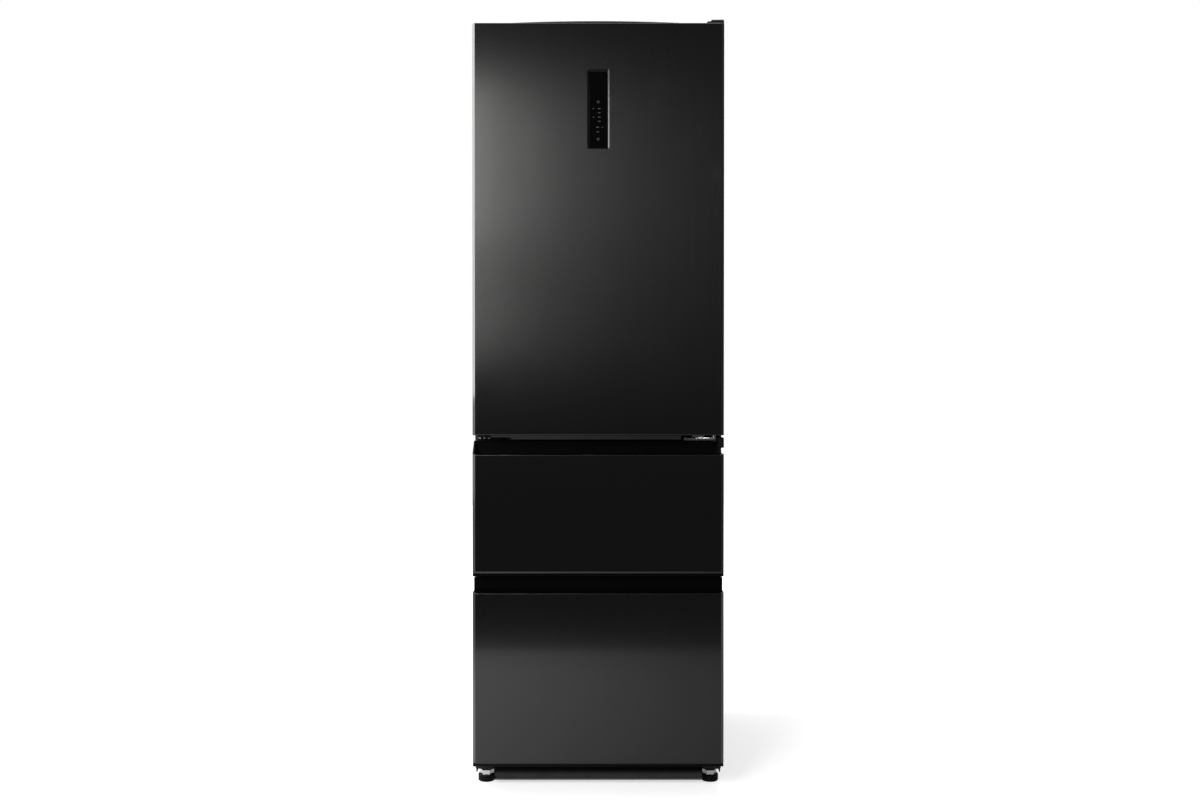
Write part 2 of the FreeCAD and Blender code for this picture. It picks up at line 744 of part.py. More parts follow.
def outer_case():
    """Folded steel case: two sides and the top, with a wide front flange for the seals."""
    shell = prism(side_case_outline(0), "y", CASE_Y0, CASE_Y1)
    shell = shell.cut(prism(side_case_outline(SHEET), "y", CASE_Y0 + SHEET, CASE_Y1))
    opening = CAVITY_X + LINER_T
    return shell.cut(box(-opening, opening, CASE_Y0, CASE_Y0 + SHEET, BASE_Z, FRIDGE_Z[1] + LINER_T))


def back_panel():
    """Rear sheet with pressed upright beads."""
    half = HALF - SHEET - FIT
    z0, z1 = MACHINE_TOP + SHEET, CASE_TOP - SHEET - FIT
    outline = [(-half, z0), (-half, z1, CASE_R), (half, z1, CASE_R), (half, z0)]
    sheet = prism(outline, "y", CASE_Y1 - SHEET, CASE_Y1)
    beads = []
    for i in (-2, -1, 0, 1, 2):
        x, y, w = i * BACK_BEAD_PITCH, CASE_Y1, BACK_BEAD_W
        outline = [(x - w, y - SHEET), (x - w, y), (x - w / 2, y + BACK_BEAD_D),
                   (x + w / 2, y + BACK_BEAD_D), (x + w, y), (x + w, y - SHEET)]
        beads.append(prism(outline, "z", z0 + WALL, z1 - WALL))
    return joined([sheet] + beads)


def base_pan():
    """Base sheet with front upstand, machine-space wall and roof."""
    half = HALF - SHEET - FIT
    opening = CAVITY_X + LINER_T - FIT
    floor = box(-half, half, CASE_Y0 + SHEET, CASE_Y1, BASE_Z, BASE_Z + SHEET)
    upstand = box(-opening, opening, CASE_Y0, CASE_Y0 + SHEET, BASE_Z, BASE_RAIL_Z)
    riser = box(-half, half, MACHINE_Y - SHEET, MACHINE_Y, BASE_Z, MACHINE_TOP + SHEET)
    roof = box(-half, half, MACHINE_Y - SHEET, CASE_Y1, MACHINE_TOP, MACHINE_TOP + SHEET)
    pan = joined([floor, upstand, riser, roof])
    for x in (-FOOT_X, FOOT_X):
        pan = pan.cut(stud_pocket(x, BASE_Z, BASE_Z + SHEET, SHEET))
    return pan


def stud_pocket(x, z0, z1, play):
    """Square clearance round a foot's stud."""
    half = STUD_R + play
    return box(x - half, x + half, FOOT_Y - half, FOOT_Y + half, z0, z1)


def cross_rail(low, high):
    """Steel rail across the front between two compartments, with rearward returns."""
    half = CAVITY_X + LINER_T - FIT
    outline = [
        (CASE_Y0, low), (CASE_Y0, high), (CASE_Y0 + RAIL_RETURN, high),
        (CASE_Y0 + RAIL_RETURN, high - SHEET), (CASE_Y0 + SHEET, high - SHEET),
        (CASE_Y0 + SHEET, low + SHEET), (CASE_Y0 + RAIL_RETURN, low + SHEET),
        (CASE_Y0 + RAIL_RETURN, low)]
    return prism(outline, "x", -half, half)


def front_rails():
    """The two rails between the compartments."""
    return group([cross_rail(*LOWER_RAIL), cross_rail(*UPPER_RAIL)])


def cabinet_foam():
    """Insulation blocks between the case and the liners, with the machine space left out."""
    grow = LINER_T + FIT
    half, inner = HALF - SHEET - FIT, CAVITY_X + grow
    y0, y1 = CASE_Y0 + SHEET, CASE_Y1 - SHEET
    back, step = CAVITY_Y1 + grow, STEP_Y + grow
    z0, ceiling, top = BASE_Z + SHEET, FRIDGE_Z[1] + grow, CASE_TOP - SHEET - FIT
    roof, wall = MACHINE_TOP + SHEET, MACHINE_Y - SHEET
    pocket = stud_pocket(FOOT_X, z0, BASE_Z + STUD_TOP + STUD_POCKET, SHEET)
    low_side = box(inner, half, y0, wall, z0, roof).cut(pocket)
    step_outline = [(step, roof), (y1, roof), (y1, STEP_Z - grow), (step, STEP_Z - grow, LINER_R)]
    blocks = [
        prism([(-half, ceiling), (-half, top, CASE_R), (half, top, CASE_R), (half, ceiling)], "y", y0, y1),
        pair(box(inner, half, y0, y1, roof, ceiling)),
        pair(low_side),
        box(-inner, inner, back, y1, STEP_Z - grow, ceiling),
        prism(step_outline, "x", -inner, inner),
        box(-inner, inner, step, wall, z0, roof),
        box(-inner, inner, y0, step, z0, LOWER_Z[0] - grow),
    ]
    for low, high in (LOWER_RAIL, UPPER_RAIL):
        blocks.append(box(-inner, inner, y0, back, low + SHEET + FIT, high - SHEET - FIT))
    return group(blocks)


def fridge_liner():
    """Inner liner of the fridge space with ledges for the shelves and the crisper."""
    liner = cavity(*FRIDGE_Z, LINER_T, CASE_Y0).cut(cavity(*FRIDGE_Z, 0, CASE_Y0))
    ledges = []
    for z in SHELF_LEVELS + [CRISPER_Z]:
        ledge = prism([(CAVITY_X, z - LEDGE_H), (CAVITY_X, z), (CAVITY_X - LEDGE_W, z),
                       (CAVITY_X - LEDGE_W, z - LEDGE_H / 2)], "y", SHELF_Y0 + TRIM_D, SHELF_Y1 - TRIM_D)
        ledges += [ledge, mirrored(ledge)]
    return joined([liner] + ledges)


def drawer_liners():
    """Liners of the two freezer spaces."""
    upper = cavity(*UPPER_Z, LINER_T, CASE_Y0).cut(cavity(*UPPER_Z, 0, CASE_Y0))
    lower = lower_cavity(LINER_T, CASE_Y0).cut(lower_cavity(0, CASE_Y0))
    return group([upper, lower])


def kickplate():
    """Toe plate under the lower drawer, curving back towards the floor."""
    half = FOOT_X - PAD_R
    top, low = CAP_LOW - KICK_TOP_GAP, KICK_FLOOR_GAP
    front, back = CASE_Y0 - KICK_T, CASE_Y0 - KICK_T + KICK_TUCK
    t = KICK_T
    bend = BASE_Z - KICK_TUCK / 2
    return prism([
        (front, top), (front, bend, KICK_TUCK), (back, low + t), (front + t, low + t), (front + t, low),
        (back + t, low), (front + t, bend, KICK_TUCK), (front + t, top)], "x", -half, half)


def build_cabinet():
    """Shell, liners and insulation."""
    return {
        "outer_case": outer_case(),
        "back_panel": back_panel(),
        "base_pan": base_pan(),
        "front_rails": front_rails(),
        "cabinet_foam": cabinet_foam(),
        "fridge_liner": fridge_liner(),
        "drawer_liners": drawer_liners(),
        "kickplate": kickplate(),
        "fixed_rails": group([
            pair(slide_member(0, z, SLIDE_Y, SLIDE_Y + SLIDE_LEN))
            for z in (UPPER_SLIDE_Z, LOWER_SLIDE_Z)]),
    }


# Hinges
def top_hinge():
    """Top hinge plate with its pin down into the door."""
    x1 = HALF - HINGE_COVER_T - FIT
    plate = box(x1 - HINGE_PLATE_W, x1, HINGE_Y - HINGE_NOSE, CASE_Y0 + HINGE_TAIL,
                CASE_TOP, CASE_TOP + HINGE_PLATE_T)
    pin_start = Vector(HINGE_X, HINGE_Y, DOOR_Z1 - PIN_GRIP + DOOR_TOP_GAP)
    pin = rod(PIN_R, pin_start, "z", PIN_GRIP + HINGE_PLATE_T)
    return joined([plate, pin])


def top_hinge_screws():
    """Places of the screws in the top hinge plate."""
    x = HALF - HINGE_COVER_T - FIT - HINGE_PLATE_W / 2
    y = CASE_Y0 + HINGE_TAIL / 2
    return [Vector(x, y + i * SCREW_PITCH, CASE_TOP + HINGE_PLATE_T) for i in (-1, 0, 1)]


def top_hinge_cover():
    """Black cover over the top hinge, rounded towards the middle of the cabinet."""
    x1 = HALF
    x0 = x1 - HINGE_PLATE_W - 2 * HINGE_COVER_T - 2 * FIT
    z0, z1 = CASE_TOP, CASE_TOP + HINGE_COVER_H
    t = HINGE_COVER_T
    y0, y1 = HINGE_Y - HINGE_NOSE - t - FIT, CASE_Y0 + HINGE_TAIL + t + FIT
    outer = prism([(x0, z0), (x1, z0), (x1, z1, t), (x0, z1, HINGE_COVER_R)], "y", y0, y1)
    round_ends = prism([(y0, z0), (y1, z0), (y1, z1, HINGE_COVER_R), (y0, z1, HINGE_COVER_R)], "x", x0, x1)
    r = HINGE_COVER_R - t
    hollow = prism([(x0 + t, z0), (x1 - t, z0), (x1 - t, z1 - t), (x0 + t, z1 - t, r)], "y", y0 + t, y1 - t)
    inner_ends = prism([(y0 + t, z0), (y1 - t, z0), (y1 - t, z1 - t, r), (y0 + t, z1 - t, r)], "x", x0, x1)
    return outer.common(round_ends).cut(hollow.common(inner_ends))


def middle_hinge():
    """Bracket on the upper rail: flange, leaf under the door and pin up into it."""
    x1 = HALF - END_COVER_W - FIT
    t = HINGE_PLATE_T
    flange = box(x1 - FLANGE_W, x1, CASE_Y0 - t, CASE_Y0, *FLANGE_Z)
    leaf = prism([
        (x1 - LEAF_W, CASE_Y0 - t), (x1 - LEAF_W, HINGE_Y, HINGE_NOSE),
        (HINGE_X - HINGE_NOSE, HINGE_Y - HINGE_NOSE), (x1, HINGE_Y - HINGE_NOSE, HINGE_NOSE / 2),
        (x1, CASE_Y0 - t)], "z", LEAF_Z - t, LEAF_Z)
    pin = rod(PIN_R, Vector(HINGE_X, HINGE_Y, LEAF_Z - t), "z", t + LEAF_DROP + CAP_PLUG - SCREW_H)
    return joined([flange, leaf, pin])


def middle_hinge_screws():
    """Places of the screws in the middle hinge's flange."""
    x = HALF - END_COVER_W - FIT - FLANGE_W + SCREW_R + SCREW_H
    z = (FLANGE_Z[0] + LEAF_Z - HINGE_PLATE_T) / 2
    return [Vector(x + i * SCREW_PITCH, CASE_Y0 - HINGE_PLATE_T, z) for i in (0, 1, 2)]


def crossbar_caps():
    """Black end cover beside the middle hinge and the blanking cap at the free corner."""
    y0 = FACE_Y + CHAMFER_D
    z0, z1 = DOOR_CAP_Z - END_COVER_DROP, LEAF_Z
    cover = prism([(y0, z0), (CASE_Y0, z0), (CASE_Y0, z1), (y0, z1, EDGE_R)], "x", HALF - END_COVER_W, HALF)
    blank = box(-HALF + HINGE_NOSE / 2, -HALF + FLANGE_W, CASE_Y0 - HINGE_PLATE_T, CASE_Y0, *FLANGE_Z)
    return group([cover, blank])


def screw_head(place, axis, turn):
    """Low hexagon screw head that stands on its place."""
    return hexagon(SCREW_R, place, axis, turn * SCREW_H)


def build_hinges():
    """Hinge brackets, covers and their screws."""
    heads = [screw_head(p, "z", 1) for p in top_hinge_screws()]
    heads += [screw_head(p, "y", -1) for p in middle_hinge_screws()]
    heads += [screw_head(p, "y", 1) for p in cover_screws()]
    return {
        "top_hinge": top_hinge(),
        "top_hinge_cover": top_hinge_cover(),
        "middle_hinge": middle_hinge(),
        "crossbar_caps": crossbar_caps(),
        "screws": group(heads),
    }


# Fridge interior
def glass_shelves():
    """Glass shelves on the liner's ledges."""
    half = CAVITY_X - SHELF_SIDE_GAP
    return group([box(-half, half, SHELF_Y0, SHELF_Y1, z, z + SHELF_T) for z in SHELF_LEVELS])


def shelf_trims():
    """Plastic edge strips along the front and the back of each shelf."""
    half = CAVITY_X - SHELF_SIDE_GAP
    z_low = (TRIM_H - SHELF_T) / 2
    strips = []
    for z in SHELF_LEVELS:
        for y0, out in ((SHELF_Y0, -1), (SHELF_Y1, 1)):
            y_out, y_in = y0 + out * TRIM_D / 2, y0 - out * TRIM_D / 2
            low, high = z - z_low, z + SHELF_T + z_low
            slope_y = y_out - out * SHELF_T
            outline = [(y_in, low), (y_out, low), (y_out, high - SHELF_T), (slope_y, high), (y_in, high)]
            strip = prism(outline, "x", -half, half)
            strips.append(strip.cut(box(-half, half, SHELF_Y0, SHELF_Y1, z, z + SHELF_T)))
    return group(strips)


def fridge_duct():
    """Air duct cover on the rear wall with outlet slots beside each shelf."""
    half, t = DUCT_W / 2, DUCT_T
    y0 = CAVITY_Y1 - DUCT_D
    z0, z1 = FRIDGE_Z[0] + DUCT_END_GAP, FRIDGE_Z[1] - DUCT_END_GAP
    slope = DUCT_D
    crest = half - slope
    outer = prism([(-half, CAVITY_Y1), (-crest, y0), (crest, y0), (half, CAVITY_Y1)], "z", z0, z1)
    inner = prism([(-half + 2 * t, CAVITY_Y1), (-crest + t, y0 + t), (crest - t, y0 + t),
                   (half - 2 * t, CAVITY_Y1)], "z", z0 + t, z1 - t)
    duct = outer.cut(inner)
    for z in SHELF_LEVELS:
        high = z + SHELF_PITCH / 2
        slot = box(half / 2 - SLOT_W / 2, half / 2 + SLOT_W / 2, y0, y0 + t, high - SLOT_H, high)
        duct = duct.cut(slot).cut(mirrored(slot))
    return duct


def fan_centre():
    """Middle of the evaporator fan, at the front of its blades."""
    z = UPPER_Z[1] - FAN_R - 2 * FAN_RIM_GAP - LINER_R
    return Vector(0, EVAP_COVER_Y + EVAP_COVER_T + FAN_RIM_GAP, z)


def evaporator_cover():
    """Rear wall of the upper freezer space with the fan grille and the return slots."""
    half = CAVITY_X - FIT
    y0, y1 = EVAP_COVER_Y, EVAP_COVER_Y + EVAP_COVER_T
    plate = prism(rectangle(-half, half, UPPER_Z[0] + FIT, UPPER_Z[1] - FIT, LINER_R), "y", y0, y1)
    cover = plate
    for i in (-2, -1, 0, 1, 2):
        z = fan_centre().z + 2 * SLOT_H * i - SLOT_H / 2
        cover = cover.cut(box(-FAN_R, FAN_R, y0, y1, z, z + SLOT_H))
    low = UPPER_Z[0] + LINER_R
    for i in (-2, -1, 0, 1, 2):
        x = i * SLOT_W * 1.25
        cover = cover.cut(box(x - SLOT_W / 2, x + SLOT_W / 2, y0, y1, low, low + SLOT_H))
    return cover


def light_lens():
    """Lamp diffuser on the ceiling of the fridge space."""
    z1 = FRIDGE_Z[1]
    y0, y1 = SHELF_Y0 - LAMP_D, SHELF_Y0
    low, r = z1 - LAMP_H, LAMP_H / 2
    outline = [(y0, z1), (y0, low, r), (y1, low, r), (y1, z1)]
    return prism(outline, "x", -LAMP_W / 2, LAMP_W / 2)


def crisper():
    """Vegetable drawer that hangs by its side flanges on the liner's ledges."""
    half = CAVITY_X - LEDGE_W - FIT - SHELF_SIDE_GAP
    y0, y1 = SHELF_Y0, SHELF_Y1 - TRIM_D
    z0, z1 = FRIDGE_Z[0] + CRISPER_FLOOR_GAP, CRISPER_Z + FIT + BIN_WALL
    tub = straight_tub(half, y0, y1, z0, z1)
    flange = box(half - BIN_WALL, half + CRISPER_FLANGE, y0 + BIN_R, y1 - BIN_R, CRISPER_Z + FIT, z1)
    lip = box(-half + BIN_R, half - BIN_R, y0 - CRISPER_FLANGE, y0 + BIN_WALL, z1 - BIN_WALL, z1)
    return joined([tub, flange, mirrored(flange), lip])


def build_interior():
    """Shelves, ducts, lamp and crisper."""
    return {
        "glass_shelves": glass_shelves(),
        "shelf_trims": shelf_trims(),
        "air_ducts": group([fridge_duct(), evaporator_cover()]),
        "light_lens": light_lens(),
        "crisper": crisper(),
    }


# Cooling machinery
def finned_block(x0, x1, y0, y1, z0, z1, fins):
    """Heat exchanger: a core crossed by upright fins."""
    pitch = (x1 - x0) / (fins - 1)
    inset_y, inset_z = (y1 - y0) / 4, (z1 - z0) / 6
    core = box(x0, x1, y0 + inset_y, y1 - inset_y, z0 + inset_z, z1 - inset_z)
    middles = [x0 + i * pitch for i in range(fins)]
    plates = [box(x - BLADE_T / 2, x + BLADE_T / 2, y0, y1, z0, z1) for x in middles]
    return joined([core] + plates)


def evaporator():
    """Cooling coil behind the freezer's rear cover."""
    y0 = CAVITY_Y1 - EVAP_D
    z0 = UPPER_Z[0] + BLADE_T
    return finned_block(-EVAP_W / 2, EVAP_W / 2, y0, CAVITY_Y1, z0, z0 + EVAP_H, EVAP_FINS)


def fan_wheel(blade_r):
    """Fan wheel about the vertical axis: hub with pitched blades and a shaft bore."""
    hub = hexagon(FAN_HUB_R, ORIGIN, "z", FAN_D)
    half_chord = FAN_D / 2 / math.sin(math.radians(BLADE_PITCH)) - BLADE_T
    root, tip = FAN_HUB_R / 2, math.sqrt(blade_r ** 2 - half_chord ** 2)
    outline = [(root, -half_chord / 2), (tip, -half_chord), (tip, half_chord), (root, half_chord / 2)]
    blades = []
    for i in range(FAN_BLADES):
        blade = prism(outline, "z", -BLADE_T / 2, BLADE_T / 2)
        blade.rotate(ORIGIN, AXES["x"], BLADE_PITCH)
        blade.translate(Vector(0, 0, FAN_D / 2))
        blade.rotate(ORIGIN, AXES["z"], 360 / FAN_BLADES * i)
        blades.append(blade)
    bore = rod(SHAFT_R + PIN_PLAY, ORIGIN, "z", FAN_D)
    return joined([hub] + blades).cut(bore)


def evaporator_fan():
    """Fan behind the grille of the freezer's rear cover."""
    wheel = fan_wheel(FAN_R - FAN_RIM_GAP)
    wheel.rotate(ORIGIN, AXES["x"], -90)
    wheel.translate(fan_centre())
    return wheel


def condenser_x():
    """Left end of the condenser."""
    return HALF - SHEET - FIT - FAN_RIM_GAP - CONDENSER_L


def condenser_fan_centre():
    """Middle of the condenser fan, at the end of its blades nearest the compressor."""
    z = BASE_Z + SHEET + FAN_R + 2 * FAN_RIM_GAP
    return Vector(condenser_x() - FAN_RIM_GAP - FAN_D, MACHINE_MID_Y, z)


def condenser_fan():
    """Fan that blows along the machine space."""
    wheel = fan_wheel(FAN_R)
    wheel.rotate(ORIGIN, AXES["y"], 90)
    wheel.translate(condenser_fan_centre())
    return wheel


def fan_motors():
    """Fan motors with their shafts and the feet that carry them."""
    front = fan_centre()
    back = front + Vector(0, FAN_D + SHELF_SIDE_GAP, 0)
    room = CAVITY_Y1 - back.y
    r = MOTOR_R
    motor = box(back.x - r, back.x + r, back.y, back.y + room, back.z - r, back.z + r)
    shaft = rod(SHAFT_R, front, "y", FAN_D + SHELF_SIDE_GAP)
    low = condenser_fan_centre()
    motor_x = low.x - SHELF_SIDE_GAP - MOTOR_L
    drum = box(motor_x, motor_x + MOTOR_L, low.y - r, low.y + r, low.z - r, low.z + r)
    axle = rod(SHAFT_R, Vector(motor_x, low.y, low.z), "x", MOTOR_L + SHELF_SIDE_GAP + FAN_D)
    foot = box(motor_x, motor_x + MOTOR_L / 2, low.y - r, low.y + r, BASE_Z + SHEET, low.z)
    return group([joined([motor, shaft]), joined([drum, axle, foot])])


def compressor():
    """Compressor can with feet on square mounts and a terminal cover."""
    y, r = MACHINE_MID_Y, COMPRESSOR_R
    z0 = BASE_Z + SHEET
    low = z0 + MOUNT_H
    shell = rod(r, Vector(COMPRESSOR_X, y, low), "z", COMPRESSOR_H)
    reach = r + MOUNT_H
    foot = box(COMPRESSOR_X - reach, COMPRESSOR_X + reach, y - r / 2, y + r / 2, low, low + BRACKET_T)
    mounts = []
    for x in (COMPRESSOR_X - r, COMPRESSOR_X + r):
        for dy in (-r / 3, r / 3):
            m = MOUNT_H / 2
            mounts.append(box(x - m, x + m, y + dy - m, y + dy + m, z0, low))
    terminal = box(COMPRESSOR_X + r / 2, COMPRESSOR_X + reach, y - r / 3, y + r / 3,
                   low + MOUNT_H, low + MOUNT_H + r / 2)
    return joined([shell, foot, terminal] + mounts)


def condenser():
    """Finned condenser that stands on the base beside its fan."""
    x0 = condenser_x()
    half = CONDENSER_D / 2
    z0 = BASE_Z + SHEET
    return finned_block(x0 + BLADE_T, x0 + CONDENSER_L - BLADE_T,
                        MACHINE_MID_Y - half, MACHINE_MID_Y + half,
                        z0, z0 + CONDENSER_H, CONDENSER_FINS)


def drip_tray():
    """Open tray for melt water on top of the compressor."""
    half = TRAY_W / 2
    x0, x1 = COMPRESSOR_X - half, COMPRESSOR_X + half
    y0, y1 = MACHINE_MID_Y - half, MACHINE_MID_Y + half
    z0 = BASE_Z + SHEET + MOUNT_H + COMPRESSOR_H
    t = TRAY_T
    outer = box(x0, x1, y0, y1, z0, z0 + TRAY_H)
    return outer.cut(box(x0 + t, x1 - t, y0 + t, y1 - t, z0 + t, z0 + TRAY_H))


def cover_span():
    """Half width, bottom and top of the machine cover."""
    return HALF - SHEET - FIT, BASE_Z + SHEET, MACHINE_TOP


def rear_cover():
    """Pressed cover over the machine space with two banks of louvre slots."""
    half, z0, z1 = cover_span()
    t, rim = BIN_WALL, GRIP_R
    y0, y1 = CASE_Y1 - SHEET, CASE_Y1 + COVER_BULGE
    sheet = box(-half, half, y0, y0 + t, z0, z1)
    field = box(-half + rim * 2, half - rim * 2, y0, y1, z0 + rim * 2, z1 - rim * 2)
    cover = joined([sheet, field])
    inset = rim * 2 + t
    cover = cover.cut(box(-half + inset, half - inset, y0, y1 - t, z0 + inset, z1 - inset))
    pitch = (z1 - z0 - 6 * rim) / (LOUVRES - 1)
    for i in range(LOUVRES):
        z = z0 + 3 * rim + i * pitch - LOUVRE_H / 2
        slot = box(half / 2 - LOUVRE_W / 2, half / 2 + LOUVRE_W / 2, y0, y1, z, z + LOUVRE_H)
        cover = cover.cut(slot).cut(mirrored(slot))
    return cover.cut(gland_block(GROMMET_R - t, y0, y1))


def grommet_z():
    """Height of the cord gland in the machine cover."""
    return BASE_Z + MACHINE_H / 3


def gland_block(half, y0, y1):
    """Square block about the gland's axis."""
    z = grommet_z()
    return box(-half, half, y0, y1, z - half, z + half)


def cord_grommet():
    """Square rubber gland through which the mains lead leaves."""
    y1 = CASE_Y1 + COVER_BULGE
    t = BIN_WALL
    y0 = y1 - 2 * t
    neck = gland_block(GROMMET_R - t - FIT, y0, y1)
    collar = gland_block(GROMMET_R, y0, y0 + t - FIT)
    return joined([neck, collar]).cut(rod(GROMMET_BORE_R, Vector(0, y0, grommet_z()), "y", 2 * t))


def cover_screws():
    """Places of the screws round the machine cover."""
    half, z0, z1 = cover_span()
    y = CASE_Y1 - SHEET + BIN_WALL
    return [Vector(x, y, z) for x in (-half + GRIP_R, 0, half - GRIP_R) for z in (z0 + GRIP_R, z1 - GRIP_R)]


def build_machinery():
    """Cooling circuit and machine space."""
    return {
        "evaporator": evaporator(),
        "evaporator_fan": evaporator_fan(),
        "compressor": compressor(),
        "condenser": condenser(),
        "condenser_fan": condenser_fan(),
        "fan_motors": fan_motors(),
        "drip_tray": drip_tray(),
        "rear_cover": rear_cover(),
        "cord_grommet": cord_grommet(),
    }


# Feet and rollers
def foot_pad(x):
    """Round black levelling foot."""
    return rod(PAD_R, Vector(x, FOOT_Y, 0), "z", PAD_H)


def foot_stud(x):
    """Plated stud with a hexagon collar that is turned to level the cabinet."""
    collar = hexagon(COLLAR_R, Vector(x, FOOT_Y, PAD_H), "z", COLLAR_H)
    return joined([collar, rod(STUD_R, Vector(x, FOOT_Y, PAD_H), "z", BASE_Z + STUD_TOP - PAD_H)])


def foot_bracket():
    """Right foot bracket: plate under the base with a turned-down outer flange."""
    z1 = BASE_Z
    x1 = HALF - SHEET
    y0 = FOOT_Y - BRACKET_L / 2
    plate = box(x1 - BRACKET_W, x1, y0, y0 + BRACKET_L, z1 - BRACKET_T, z1)
    flange = prism([(y0, z1), (y0 + BRACKET_L, z1), (y0 + BRACKET_L, z1 - BRACKET_FLANGE),
                    (y0, z1 - BRACKET_FLANGE)], "x", x1 - BRACKET_T, x1)
    return joined([plate, flange]).cut(stud_pocket(FOOT_X, z1 - BRACKET_T, z1, PIN_PLAY))


def roller_bracket():
    """Right roller bracket: two cheeks under a plate, with a riveted axle."""
    half = ROLLER_W / 2 + ROLLER_PLAY
    t = BRACKET_T
    y0, y1 = ROLLER_Y - ROLLER_R, ROLLER_Y + ROLLER_R
    plate = box(ROLLER_X - half - t, ROLLER_X + half + t, y0, y1, BASE_Z - t, BASE_Z)
    cheek = prism([(y0, BASE_Z), (y1, BASE_Z), (ROLLER_Y + AXLE_R * 2, ROLLER_R - AXLE_R * 2),
                   (ROLLER_Y - AXLE_R * 2, ROLLER_R - AXLE_R * 2)],
                  "x", ROLLER_X + half, ROLLER_X + half + t)
    other = cheek.copy()
    other.translate(Vector(-2 * half - t, 0, 0))
    axle = rod(AXLE_R, Vector(ROLLER_X - half - t, ROLLER_Y, ROLLER_R), "x", 2 * half + 2 * t)
    return joined([plate, cheek, other, axle])


def roller():
    """Right rear roller."""
    start = Vector(ROLLER_X - ROLLER_W / 2, ROLLER_Y, ROLLER_R)
    wheel = rod(ROLLER_R, start, "x", ROLLER_W)
    return wheel.cut(rod(AXLE_R + PIN_PLAY, start, "x", ROLLER_W))


def build_supports():
    """Levelling feet at the front and rollers at the back."""
    return {
        "left_foot": foot_pad(-FOOT_X),
        "left_foot_stud": foot_stud(-FOOT_X),
        "right_foot": foot_pad(FOOT_X),
        "right_foot_stud": foot_stud(FOOT_X),
        "floor_brackets": group([pair(foot_bracket()), pair(roller_bracket())]),
        "rear_rollers": pair(roller()),
    }


def main():
    """Build every piece and write one file for each."""
    pieces = {}
    pieces.update(build_door())
    pieces.update(build_drawer("upper", FACE_UP, LIP_UP, TOP_UP, UPPER_SLIDE_Z, upper_bin(), True))
    pieces.update(build_drawer("lower", LOWER_FACE_Z, LIP_LOW, TOP_LOW, LOWER_SLIDE_Z, lower_bin(), False))
    pieces.update(build_cabinet())
    pieces.update(build_hinges())
    pieces.update(build_interior())
    pieces.update(build_machinery())
    pieces.update(build_supports())
    os.makedirs("parts", exist_ok=True)
    for name, shape in pieces.items():
        shape.exportStep("parts/" + name + ".step")


main()
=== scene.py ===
import json
import logging
import math
from dataclasses import dataclass
from enum import Enum
from typing import Any, Callable, Optional, Union

import bpy
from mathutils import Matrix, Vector

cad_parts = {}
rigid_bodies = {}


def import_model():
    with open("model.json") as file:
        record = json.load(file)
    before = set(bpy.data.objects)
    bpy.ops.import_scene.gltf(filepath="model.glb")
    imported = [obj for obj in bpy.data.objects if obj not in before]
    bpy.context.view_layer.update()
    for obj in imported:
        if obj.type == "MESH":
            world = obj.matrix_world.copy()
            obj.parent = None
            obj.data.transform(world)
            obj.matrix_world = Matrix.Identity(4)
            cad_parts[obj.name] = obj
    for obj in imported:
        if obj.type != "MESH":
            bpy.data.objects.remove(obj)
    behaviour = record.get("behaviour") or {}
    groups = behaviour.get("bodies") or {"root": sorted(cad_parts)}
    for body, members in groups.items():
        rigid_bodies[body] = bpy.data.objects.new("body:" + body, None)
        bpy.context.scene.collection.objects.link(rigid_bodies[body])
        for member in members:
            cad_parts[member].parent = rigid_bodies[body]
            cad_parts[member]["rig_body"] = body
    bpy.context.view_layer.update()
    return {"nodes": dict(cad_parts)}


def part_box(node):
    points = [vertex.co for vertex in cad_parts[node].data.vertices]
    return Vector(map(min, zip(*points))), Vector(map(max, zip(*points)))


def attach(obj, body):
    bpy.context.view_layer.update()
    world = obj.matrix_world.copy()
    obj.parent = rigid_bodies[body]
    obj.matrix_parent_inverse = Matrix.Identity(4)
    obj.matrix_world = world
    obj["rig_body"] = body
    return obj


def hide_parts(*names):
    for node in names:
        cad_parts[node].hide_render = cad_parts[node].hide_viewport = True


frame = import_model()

LOG = logging.getLogger("fridge")

MM = 0.001
MERGE_GAP = 0.002 * MM
FLAT_ANGLE = math.radians(0.2)
SHARP_ANGLE = math.radians(40.0)
SMOOTH_ANGLE = math.radians(32.0)
QUARTER = math.pi / 2
ORIGIN = (0.0, 0.0, 0.0)

Object = bpy.types.Object
Material = bpy.types.Material
Face = bpy.types.MeshPolygon
Colour = tuple[float, float, float]
Point = tuple[float, float, float]
Pair = tuple[float, float]
Number = Union[float, "Value"]
FaceTest = Callable[[Face], bool]
PointTest = Callable[[Vector], bool]


def grey(level: float) -> tuple[float, float, float, float]:
    """Plain grey, opaque."""
    return (level, level, level, 1.0)


class Axis(Enum):
    """Directions of the shared frame, each with the turn that lays an upright blank along it."""

    X = (0.0, QUARTER, 0.0)
    Y = (QUARTER, 0.0, 0.0)
    Z = (0.0, 0.0, 0.0)


class Side(Enum):
    """Left and right as seen from the front, each with its sign along X."""

    left = -1
    right = 1


